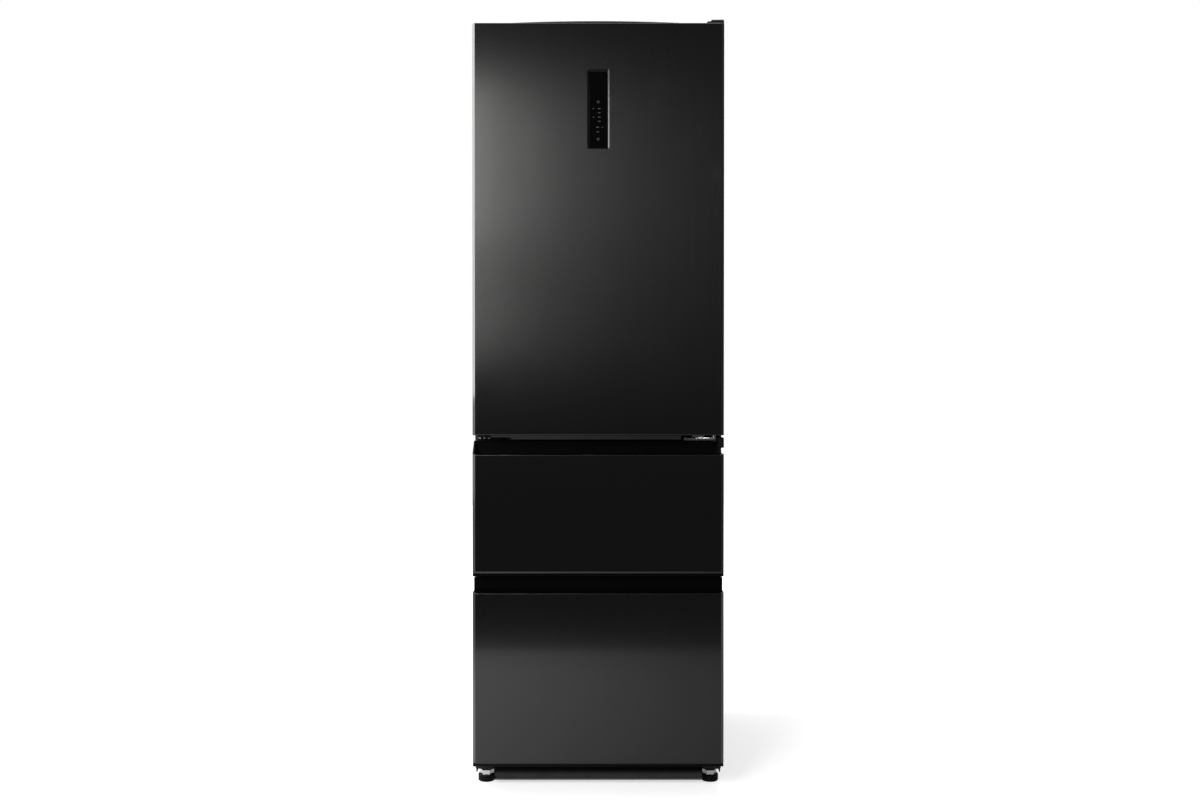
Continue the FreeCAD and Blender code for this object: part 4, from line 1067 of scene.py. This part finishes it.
@dataclass
class FridgeDoor:
    """The swinging door with its display, liner, bins and seal."""

    body: str = "fridge_door"
    low_z: float = 857.0 * MM
    high_z: float = 1834.0 * MM
    edges: Edges = (
        ("door_skin", BLACK_STEEL, 0.25), ("door_top_cap", BLACK_MOULDING, 0.6),
        ("door_bottom_cap", BLACK_MOULDING, 0.6), ("display_bezel", BEZEL_BLACK, 0.4),
        ("display_lens", DISPLAY_GLASS, 0.3), ("door_bins", CLEAR_TUB, 0.6),
        ("door_gasket", SEAL_RUBBER, 0.8), ("hinge_bushes", WHITE_LINER, 0.4))
    liner_edge: float = 1.2 * MM
    rim_y: float = -267.0 * MM
    bar_half: float = 224.0 * MM
    mark_y: float = -321.0 * MM
    mark_lift: float = 0.15 * MM
    mark_edge: float = 0.1 * MM
    ring_radius: float = 3.0 * MM
    ring_border: float = 0.8 * MM
    ring_sink: float = 0.225 * MM
    bar_size: Pair = (3.0 * MM, 0.7 * MM)
    dot_radius: float = 1.1 * MM
    ring_marks: tuple[Pair, ...] = ((0.0, 1648.0), (0.0, 1560.0))
    bar_marks: tuple[Pair, ...] = ((3.0, 1632.0), (3.0, 1622.0), (3.0, 1612.0), (3.0, 1602.0),
                                   (-1.0, 1588.0), (-1.0, 1577.0))
    dot_marks: tuple[Pair, ...] = ((-11.0, 1632.0), (-11.0, 1612.0), (10.0, 1588.0))
    bin_tops: tuple[float, ...] = (1190.0 * MM, 1425.0 * MM, 1660.0 * MM)
    bin_rim_half: float = 200.0 * MM
    bin_rim_y: Pair = (-173.0 * MM, -169.8 * MM)
    bin_rim_z: Pair = (-10.0 * MM, -1.5 * MM)
    bin_rim_border: float = 1.6 * MM
    bin_rim_sink: float = 0.5 * MM
    bin_rim_edge: float = 0.5 * MM

    def build(self) -> None:
        """Make the door's pieces."""
        refined_all(self.edges)
        painted("door_foam", WALL_FOAM)
        EdgeTrim().build("door_edge_trim", self.low_z, self.high_z, self.body)
        self._liner()
        self._display_marks()
        self._bin_rims()

    def _liner(self) -> None:
        """Inner panel with the bars of its border grown into one moulding."""
        near = 0.2 * MM

        def on_panel(face: Face) -> bool:
            """True for the faces of the bars."""
            beyond = face.center.y - self.rim_y
            return beyond > near or beyond > -near and face.normal.y < 0.0

        def crossing(face: Face) -> bool:
            """True for the faces of the two level bars."""
            beyond = abs(face.center.x) - self.bar_half
            return beyond < -near or beyond < near and face.normal.x * face.center.x > 0.0

        liner = Bench.from_node("door_liner")
        sides = Bench.detach(liner, on_panel)
        levels = Bench.detach(sides, crossing)
        Bench.grow(sides, levels)
        Bench.grow(liner, sides)
        Bench.done(liner, self.liner_edge, segments=3)
        dress(liner, WHITE_LINER, self.body, "door_liner")

    def _display_marks(self) -> None:
        """Plain rings, bars and dots under the display glass, at places in millimetres."""
        lift, (half, rise) = self.mark_lift, self.bar_size
        ring = Bench.disc("ring_mark", ORIGIN, self.ring_radius, 2 * lift, Axis.Y, sides=32)
        Bench.recess(ring, (0.0, -1.0, 0.0), self.ring_border, self.ring_sink)
        bar = Bench.block("bar_mark", (-half, -lift, -rise), (half, lift, rise))
        Bench.soften(bar, self.mark_edge)
        dot = Bench.disc("dot_mark", ORIGIN, self.dot_radius, 2 * lift, Axis.Y, sides=16)
        Bench.soften(dot, self.mark_edge)
        marks = []
        for mark, places in ((ring, self.ring_marks), (bar, self.bar_marks), (dot, self.dot_marks)):
            moves = [(x * MM, self.mark_y, z * MM) for x, z in places]
            marks += Bench.spread(mark, mark.name, moves)
        piece = Bench.join(marks)
        piece.name = "display_marks"
        Bench.smooth(piece)
        dress(piece, MARK_GLOW, self.body)

    def _bin_rims(self) -> None:
        """Plated strip along the top of each door bin."""
        (front, back), (low, high) = self.bin_rim_y, self.bin_rim_z
        strip = Bench.block("bin_rim", (-self.bin_rim_half, front, low),
                            (self.bin_rim_half, back, high))
        Bench.recess(strip, (0.0, 1.0, 0.0), self.bin_rim_border, self.bin_rim_sink)
        Bench.done(strip, self.bin_rim_edge, segments=3)
        moves = [(0.0, 0.0, top) for top in self.bin_tops]
        for rim in Bench.spread(strip, "bin_rim_%d", moves):
            dress(rim, BRIGHT_PLATE, self.body)


@dataclass
class FreezerDrawer:
    """One freezer drawer with its front, bin and slides."""

    name: str
    low_z: float
    high_z: float
    lip_z: float
    notch: Optional[Pair] = None
    tab_x: Optional[Pair] = None
    edges: Edges = (
        ("drawer_caps", GLOSS_BLACK, 0.5), ("drawer_panel", WHITE_LINER, 0.8),
        ("drawer_gasket", SEAL_RUBBER, 0.8), ("drawer_bin", FROSTED_TUB, 0.6),
        ("drawer_rails", RAIL_PLATE, 0.3), ("slides", RAIL_PLATE, 0.3))
    skin_edge: float = 0.25 * MM
    bend: float = 3.1 * MM
    roll: float = 2.0
    cover_gap: float = 0.6 * MM
    cover_right: float = 298.6 * MM
    cover_y: Pair = (-283.0 * MM, -275.3 * MM)
    cover_z: Pair = (-0.2 * MM, 1.0 * MM)
    tab_y: Pair = (-323.6 * MM, -320.6 * MM)
    tab_z: Pair = (-0.8 * MM, 0.5 * MM)

    def build(self) -> None:
        """Make the drawer's pieces."""
        body = self.name + "_drawer"
        self._skin(body, body + "_skin")
        refined_all(self.edges, self.name + "_")
        painted(body + "_foam", WALL_FOAM)
        EdgeTrim().build(body + "_edge_trim", self.low_z, self.high_z, body, self.notch)
        if self.notch:
            self._notch_cover(body, *self.notch)
        if self.tab_x:
            self._grip_tab(body, *self.tab_x)

    def _skin(self, body: str, node: str) -> None:
        """Steel skin whose lower edge rolls over in a longer bend.

        Args:
            body: the body that it rides on.
            node: the node that it stands for.
        """
        skin = Bench.from_node(node)
        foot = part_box(node)[0][2]
        Bench.stretch(skin, (1.0, 1.0, self.roll), (0.0, 0.0, foot),
                      lambda at: at.z < foot + self.bend)
        dress(Bench.done(skin, self.skin_edge), BLACK_STEEL, body, node)

    def _notch_cover(self, body: str, left: float, foot: float) -> None:
        """Cover over the open end of the grip under the hinge.

        Args:
            body: the body that it rides on.
            left: left end of the notch.
            foot: foot of the notch.
        """
        (front, back), (low, high) = self.cover_y, self.cover_z
        cover = Bench.block(body + "_notch_cover", (left + self.cover_gap, front, foot + low),
                            (self.cover_right, back, foot + high))
        Bench.recess(cover, (0.0, 0.0, 1.0), border=1.0 * MM, depth=0.4 * MM)
        dress(Bench.done(cover), MATT_BLACK, body)

    def _grip_tab(self, body: str, left: float, right: float) -> None:
        """Slim locating tab on the edge of the grip.

        Args:
            body: the body that it rides on.
            left: its left end.
            right: its right end.
        """
        (front, back), (low, high) = self.tab_y, self.tab_z
        tab = Bench.block(body + "_tab", (left, front, self.lip_z + low),
                          (right, back, self.lip_z + high))
        Bench.recess(tab, (0.0, 0.0, 1.0), border=0.6 * MM, depth=0.3 * MM)
        dress(Bench.done(tab), BLACK_STEEL, body)


@dataclass
class Cabinet:
    """The case with its liners, shelves, hinges and plinth."""

    body: str = "cabinet"
    edges: Edges = (
        ("outer_case", CASE_PAINT, 0.3), ("back_panel", ZINC_SHEET, 0.4),
        ("base_pan", CASE_PAINT, 0.3), ("front_rails", CASE_PAINT, 0.3),
        ("kickplate", KICK_MOULDING, 0.5), ("fixed_rails", RAIL_PLATE, 0.3),
        ("top_hinge", BRIGHT_PLATE, 0.4), ("middle_hinge", BRIGHT_PLATE, 0.4),
        ("crossbar_caps", MATT_BLACK, 0.5), ("screws", SCREW_PLATE, 0.3),
        ("fridge_liner", WHITE_LINER, 0.5), ("drawer_liners", WHITE_LINER, 0.5),
        ("glass_shelves", SHELF_GLASS, 0.6), ("shelf_trims", WHITE_LINER, 0.6),
        ("air_ducts", WHITE_LINER, 0.5), ("light_lens", LAMP_GLOW, 0.6),
        ("crisper", CLEAR_TUB, 0.6))
    ramp_x: float = 276.0 * MM
    ramp_z: float = 1843.0 * MM
    ramp_keep: float = 0.45
    ramp_edge: float = 0.6 * MM
    rail_y: float = -260.0 * MM
    clip_x: tuple[Pair, ...] = ((210.2 * MM, 229.0 * MM), (258.0 * MM, 285.4 * MM))
    clip_y: Pair = (-1.4 * MM, 0.1 * MM)
    clip_z: Pair = (847.5 * MM, 861.2 * MM)
    clip_edge: float = 0.4 * MM
    blank_x: tuple[float, ...] = (-288.5 * MM, -277.0 * MM, -266.0 * MM)
    blank_z: float = 848.0 * MM
    blank_rise: float = 0.8 * MM
    blank_radius: float = 2.4 * MM
    blank_height: float = 2.0 * MM
    panel_y: float = 318.0 * MM
    panel_half: float = 290.0 * MM
    panel_top: float = 1826.0 * MM
    panel_z: tuple[float, ...] = (0.29, 0.64, 0.99, 1.34, 1.69)
    panel_x: tuple[float, ...] = (-0.12, 0.12)
    flange_rise: float = 0.3 * MM
    flange_radius: float = 4.4 * MM
    flange_height: float = 0.8 * MM
    head_rise: float = 1.4 * MM
    head_radius: float = 3.2 * MM
    head_height: float = 2.0 * MM
    head_edge: float = 0.25 * MM
    pull_low: Point = (-95.0 * MM, -157.0 * MM, 1052.0 * MM)
    pull_high: Point = (95.0 * MM, -144.8 * MM, 1073.0 * MM)
    pull_edge: float = 1.2 * MM

    def build(self) -> None:
        """Make the cabinet's pieces."""
        refined_all(self.edges)
        painted("cabinet_foam", WALL_FOAM)
        self._hinge_cover()
        self._flange_clips()
        self._blank_screws()
        self._panel_screws()
        self._crisper_pull()

    def _hinge_cover(self) -> None:
        """Top hinge cover with its inner end drawn up into a ramp."""
        cover = Bench.from_node("top_hinge_cover")
        Bench.stretch(cover, (self.ramp_keep, 1.0, 1.0), (self.ramp_x, 0.0, 0.0),
                      lambda at: at.z > self.ramp_z and at.x < self.ramp_x)
        dress(Bench.done(cover, self.ramp_edge), MATT_BLACK, self.body, "top_hinge_cover")

    def _flange_clips(self) -> None:
        """Black clips over both ends of the middle hinge's flange."""
        (front, back), (low, high) = self.clip_y, self.clip_z
        for number, (left, right) in enumerate(self.clip_x, 1):
            clip = Bench.block("hinge_clip_%d" % number, (left, self.rail_y + front, low),
                               (right, self.rail_y + back, high))
            Bench.recess(clip, (0.0, -1.0, 0.0), border=1.2 * MM, depth=0.4 * MM)
            dress(Bench.done(clip, self.clip_edge), MATT_BLACK, self.body)

    def _blank_screws(self) -> None:
        """Small socket screws in the blanking cap at the free corner."""
        place = (0.0, self.rail_y - self.blank_rise, self.blank_z)
        head = Bench.disc("blank_screw", place, self.blank_radius, self.blank_height, Axis.Y)
        Bench.recess(head, (0.0, -1.0, 0.0), border=1.0 * MM, depth=0.8 * MM)
        moves = [(x, 0.0, 0.0) for x in self.blank_x]
        for screw in Bench.spread(Bench.done(head), "blank_screw_%d", moves):
            dress(screw, SCREW_PLATE, self.body)

    def _panel_screws(self) -> None:
        """Flanged hexagon screws along the edges of the back panel."""
        flange = Bench.disc("panel_screw", (0.0, self.panel_y + self.flange_rise, 0.0),
                            self.flange_radius, self.flange_height, Axis.Y)
        head = Bench.disc("panel_screw_head", (0.0, self.panel_y + self.head_rise, 0.0),
                          self.head_radius, self.head_height, Axis.Y, sides=6)
        Bench.recess(head, (0.0, 1.0, 0.0), border=0.7 * MM, depth=0.4 * MM)
        first = Bench.done(Bench.join([flange, head]), self.head_edge)
        moves = [(side.value * self.panel_half, 0.0, z) for side in Side for z in self.panel_z]
        moves += [(x, 0.0, self.panel_top) for x in self.panel_x]
        dress(Bench.join(Bench.spread(first, "panel_screws", moves)), SCREW_PLATE, self.body)

    def _crisper_pull(self) -> None:
        """Finger pull on the front of the vegetable drawer."""
        pull = Bench.block("crisper_pull", self.pull_low, self.pull_high)
        Bench.recess(pull, (0.0, 0.0, -1.0), border=2.0 * MM, depth=14.0 * MM)
        Bench.recess(pull, (0.0, -1.0, 0.0), border=2.4 * MM, depth=1.0 * MM)
        dress(Bench.done(pull, self.pull_edge, segments=3), WHITE_LINER, "crisper_drawer")


@dataclass
class CoolingMachine:
    """Compressor, heat exchangers and fans."""

    can_edge: float = 4.0 * MM
    edges: Edges = (
        ("condenser", FIN_METAL, 0.0), ("evaporator", FIN_METAL, 0.0),
        ("fan_motors", MOTOR_PAINT, 0.8), ("condenser_fan", BLACK_MOULDING, 0.3),
        ("evaporator_fan", BLACK_MOULDING, 0.3), ("drip_tray", BLACK_MOULDING, 0.5),
        ("rear_cover", CASE_PAINT, 0.4), ("cord_grommet", SEAL_RUBBER, 0.6))

    def build(self) -> None:
        """Make the machinery's pieces."""
        refined("compressor", MOTOR_PAINT, self.can_edge, segments=4)
        refined_all(self.edges)


@dataclass
class Footing:
    """Levelling feet at the front and rollers at the back."""

    foot_x: float = 276.0 * MM
    foot_y: float = -221.0 * MM
    pad_edge: float = 1.2 * MM
    stud_edge: float = 0.8 * MM
    stud_radius: float = 5.0 * MM
    thread_radius: float = 0.8 * MM
    thread_z: float = 28.0 * MM
    thread_pitch: float = 1.75 * MM
    thread_turns: int = 7
    thread_steps: int = 20
    nut_z: Pair = (29.0 * MM, 36.5 * MM)
    nut_radius: float = 13.0 * MM
    nut_edge: float = 0.8 * MM
    edges: Edges = (("rear_rollers", BLACK_MOULDING, 0.8), ("floor_brackets", CASE_PAINT, 0.3))

    def build(self) -> None:
        """Make the feet and rollers."""
        for side in Side:
            refined(side.name + "_foot", MATT_BLACK, self.pad_edge, segments=3)
            refined(side.name + "_foot_stud", BRIGHT_PLATE, self.stud_edge)
            self._thread(side)
            self._lock_nut(side)
        refined_all(self.edges)

    def _stand(self, piece: Object, side: Side) -> str:
        """Move a piece that was made about the upright axis to one foot.

        Args:
            piece: the piece to move.
            side: which foot.

        Returns:
            The foot's body.
        """
        piece.location = (side.value * self.foot_x, self.foot_y, 0.0)
        Bench.settle(piece)
        return side.name + "_levelling_foot"

    def _thread(self, side: Side) -> None:
        """Rolled thread on one stud.

        Args:
            side: which foot.
        """
        ridge = Bench.add(side.name + "_thread", bpy.ops.mesh.primitive_circle_add, vertices=3,
                          radius=self.thread_radius, rotation=Axis.Y.value,
                          location=(self.stud_radius, 0.0, self.thread_z))
        Bench.modify(ridge, "SCREW", axis="Z", screw_offset=self.thread_pitch,
                     iterations=self.thread_turns, steps=self.thread_steps,
                     render_steps=self.thread_steps)

        def close() -> None:
            """Close the two ends and turn the faces outwards."""
            bpy.ops.mesh.select_all(action="SELECT")
            bpy.ops.mesh.fill_holes(sides=3)
            bpy.ops.mesh.select_all(action="SELECT")
            bpy.ops.mesh.normals_make_consistent(inside=False)

        Bench.edit(ridge, close)
        Bench.smooth(ridge)
        dress(ridge, BRIGHT_PLATE, self._stand(ridge, side))

    def _lock_nut(self, side: Side) -> None:
        """Black lock nut under the bracket.

        Args:
            side: which foot.
        """
        low, high = self.nut_z
        nut = Bench.disc(side.name + "_lock_nut", (0.0, 0.0, (low + high) / 2), self.nut_radius,
                         high - low, Axis.Z, sides=6)
        Bench.recess(nut, (0.0, 0.0, -1.0), border=3.0 * MM, depth=1.0 * MM)
        Bench.done(nut, self.nut_edge, segments=3)
        dress(nut, MATT_BLACK, self._stand(nut, side))


@dataclass(frozen=True)
class Softbox:
    """One soft lamp: size of its cloth, its place, the point that it faces, and its watts."""

    name: str
    size: Pair
    place: Point
    aim: Point
    power: float

    def build(self) -> None:
        """Hang the lamp, unseen by the camera."""
        data = bpy.data.lights.new(self.name, "AREA")
        data.shape = "RECTANGLE"
        data.size, data.size_y = self.size
        data.energy = self.power
        lamp = bpy.data.objects.new(self.name, data)
        lamp.location = self.place
        ray = Vector(self.aim) - Vector(self.place)
        lamp.rotation_euler = ray.to_track_quat("-Z", "Y").to_euler()
        lamp.visible_camera = False
        bpy.context.scene.collection.objects.link(lamp)


@dataclass
class Studio:
    """Floor, dark drapes, lamps and camera."""

    face_y: float = -0.325
    camera_gap: float = 2.5
    camera_x: float = 0.0043
    camera_z: float = 0.965
    camera_pitch: float = 0.547
    lens: float = 31.6
    sensor: float = 36.0
    ambient: float = 0.3
    sheet_half: float = 6.0
    sheet_front: float = 1.4
    sheet_grey: float = 0.8
    front_grey: float = 0.09
    front_blur: float = 0.02
    dim_least: float = 0.17
    dim_right: float = 0.48
    dim_right_x: Pair = (-0.6, 0.6)
    dim_left: float = 0.5
    dim_left_x: Pair = (0.9, 1.8)
    mirror_near: float = 0.45
    mirror_band: Pair = (1.5, 4.0)
    view_near: float = 0.6
    view_band: Pair = (0.7, 2.2)
    drape_gap: float = 5.0
    drape_height: float = 6.0
    drape_level: float = 0.085
    ceiling_level: float = 0.03
    flag_x: float = 2.6
    flag_y: float = -1.0
    flag_level: float = 0.1
    softboxes: tuple[Softbox, ...] = (
        Softbox("key_softbox", (1.5, 0.74), (-1.54, -2.85, 2.15), (-0.3, -0.3, 1.4), 55.0),
        Softbox("low_softbox", (1.5, 0.7), (-1.54, -2.85, 1.485), (-0.3, -0.3, 1.4), 27.0),
        Softbox("left_rim", (0.6, 1.6), (-1.56, 0.49, 1.72), (-0.3, -0.32, 1.4), 10.5),
        Softbox("top_softbox", (2.4, 2.0), (0.0, 0.6, 4.2), (0.0, 0.2, 0.0), 50.0))

    def build(self) -> None:
        """Make the whole studio."""
        self._world()
        self._floor()
        self._drapes()
        for softbox in self.softboxes:
            softbox.build()
        self._camera()

    @staticmethod
    def _rays(graph: Graph) -> tuple[Value, Value, Value]:
        """Where the rays that meet a surface come from, as 0 or 1.

        Args:
            graph: the node tree.

        Returns:
            From the camera; from a mirror; from the camera, from a mirror or through glass.
        """
        path = graph.node("ShaderNodeLightPath")
        names = ("Is Camera Ray", "Is Glossy Ray", "Is Transmission Ray")
        camera, glossy, passing = (Value(graph, path.outputs[name]) for name in names)
        seen = graph.math("MAXIMUM", graph.math("MAXIMUM", camera, glossy), passing)
        return camera, glossy, seen

    def _world(self) -> None:
        """White surroundings to the eye, and a plain soft level of light."""
        world = bpy.data.worlds.new("studio")
        world.use_nodes = True
        graph = Graph(world.node_tree)
        strength = self.ambient + (1.0 - self.ambient) * self._rays(graph)[2]
        inputs = {"Color": grey(1.0), "Strength": strength}
        sky = graph.value("ShaderNodeBackground", {}, inputs)
        graph.node("ShaderNodeOutputWorld", {}, {"Surface": sky})
        bpy.context.scene.world = world

    def _sheet(self, graph: Graph) -> Value:
        """Shader of the floor sheet.

        Mirrors see it dimmer at the right and far left, and dark from its front edge on.

        Args:
            graph: the material's node tree.

        Returns:
            The shader.
        """
        camera, glossy, seen = self._rays(graph)
        across, along = graph.along(Axis.X), graph.along(Axis.Y)
        where = {0: graph.where()}
        away = graph.value("ShaderNodeVectorMath", {"operation": "LENGTH"}, where, "Value")
        dim = (self.dim_least + self.dim_right * across.between(*self.dim_right_x)
               + self.dim_left * (0.0 - across).between(*self.dim_left_x))
        tone = 1.0 - glossy * dim
        mirror = self.mirror_near + (1.0 - self.mirror_near) * away.between(*self.mirror_band)
        view = self.view_near + (1.0 - self.view_near) * away.between(*self.view_band)
        lift = (seen - camera) * mirror * tone + camera * view
        shade = graph.shade((self.sheet_grey,) * 3, tone)
        cloth = graph.value("ShaderNodeBsdfDiffuse", {}, {"Color": shade})
        glow = graph.value("ShaderNodeEmission", {}, {"Color": grey(1.0), "Strength": lift})
        lit = graph.value("ShaderNodeAddShader", {}, {0: cloth, 1: glow})
        dark = graph.value("ShaderNodeEmission", {}, {"Color": grey(self.front_grey)})
        edge = self.sheet_front - self.face_y
        front = (0.0 - along).between(edge - self.front_blur, edge + self.front_blur)
        return graph.value("ShaderNodeMixShader", {}, {0: glossy * front, 1: lit, 2: dark})

    def _floor(self) -> None:
        """White floor sheet."""
        name = "floor_sheet"
        floor = Bench.add(name, bpy.ops.mesh.primitive_plane_add, size=2 * self.sheet_half)
        floor.data.materials.append(new_material(name, self._sheet))

    @staticmethod
    def _dark_card(name: str, size: Pair, place: Point, turn: Point, level: float) -> None:
        """One dark cloth that only mirrors see.

        Args:
            name: the cloth's name.
            size: width and height in metres.
            place: its middle.
            turn: its turn about each axis in radians.
            level: how light the cloth is.
        """
        def cloth(graph: Graph) -> Value:
            """Even shader of the cloth."""
            inputs = {"Color": grey(level), "Strength": 1.0}
            return graph.value("ShaderNodeEmission", {}, inputs)

        card = Bench.add(name, bpy.ops.mesh.primitive_plane_add, (*size, 1.0), size=1.0,
                         location=place, rotation=turn)
        card.data.materials.append(new_material(name, cloth))
        card.visible_camera = False
        card.visible_diffuse = False
        card.visible_shadow = False
        card.visible_transmission = False

    def _drapes(self) -> None:
        """Dark room in front of the cabinet, above it and at its right."""
        far, wide, high = self.face_y - self.drape_gap, 2 * self.sheet_half, self.drape_height
        self._dark_card("front_drape", (wide, high), (0.0, far, high / 2), Axis.Y.value,
                        self.drape_level)
        self._dark_card("ceiling_drape", (wide, wide), (0.0, far + self.sheet_half, high),
                        Axis.Z.value, self.ceiling_level)
        self._dark_card("right_flag", (wide, high), (self.flag_x, self.flag_y, high / 2),
                        (QUARTER, 0.0, QUARTER), self.flag_level)

    def _camera(self) -> None:
        """Camera at the photograph's place."""
        data = bpy.data.cameras.new("camera")
        data.lens = self.lens
        data.sensor_width = self.sensor
        camera = bpy.data.objects.new("camera", data)
        camera.location = (self.camera_x, self.face_y - self.camera_gap, self.camera_z)
        camera.rotation_euler = (QUARTER - math.radians(self.camera_pitch), 0.0, 0.0)
        bpy.context.scene.collection.objects.link(camera)
        bpy.context.scene.camera = camera


def main() -> None:
    """Build every sub-assembly and the studio."""
    logging.basicConfig(level=logging.INFO, format="%(name)s: %(message)s")
    bpy.context.scene.view_settings.view_transform = "Standard"
    FridgeDoor().build()
    FreezerDrawer("upper", low_z=0.521, high_z=0.842, lip_z=0.812, notch=(0.2816, 0.8124),
                  tab_x=(-0.035, -0.004)).build()
    FreezerDrawer("lower", low_z=0.067, high_z=0.512, lip_z=0.482).build()
    Cabinet().build()
    CoolingMachine().build()
    Footing().build()
    Studio().build()


if __name__ == "__main__":
    main()
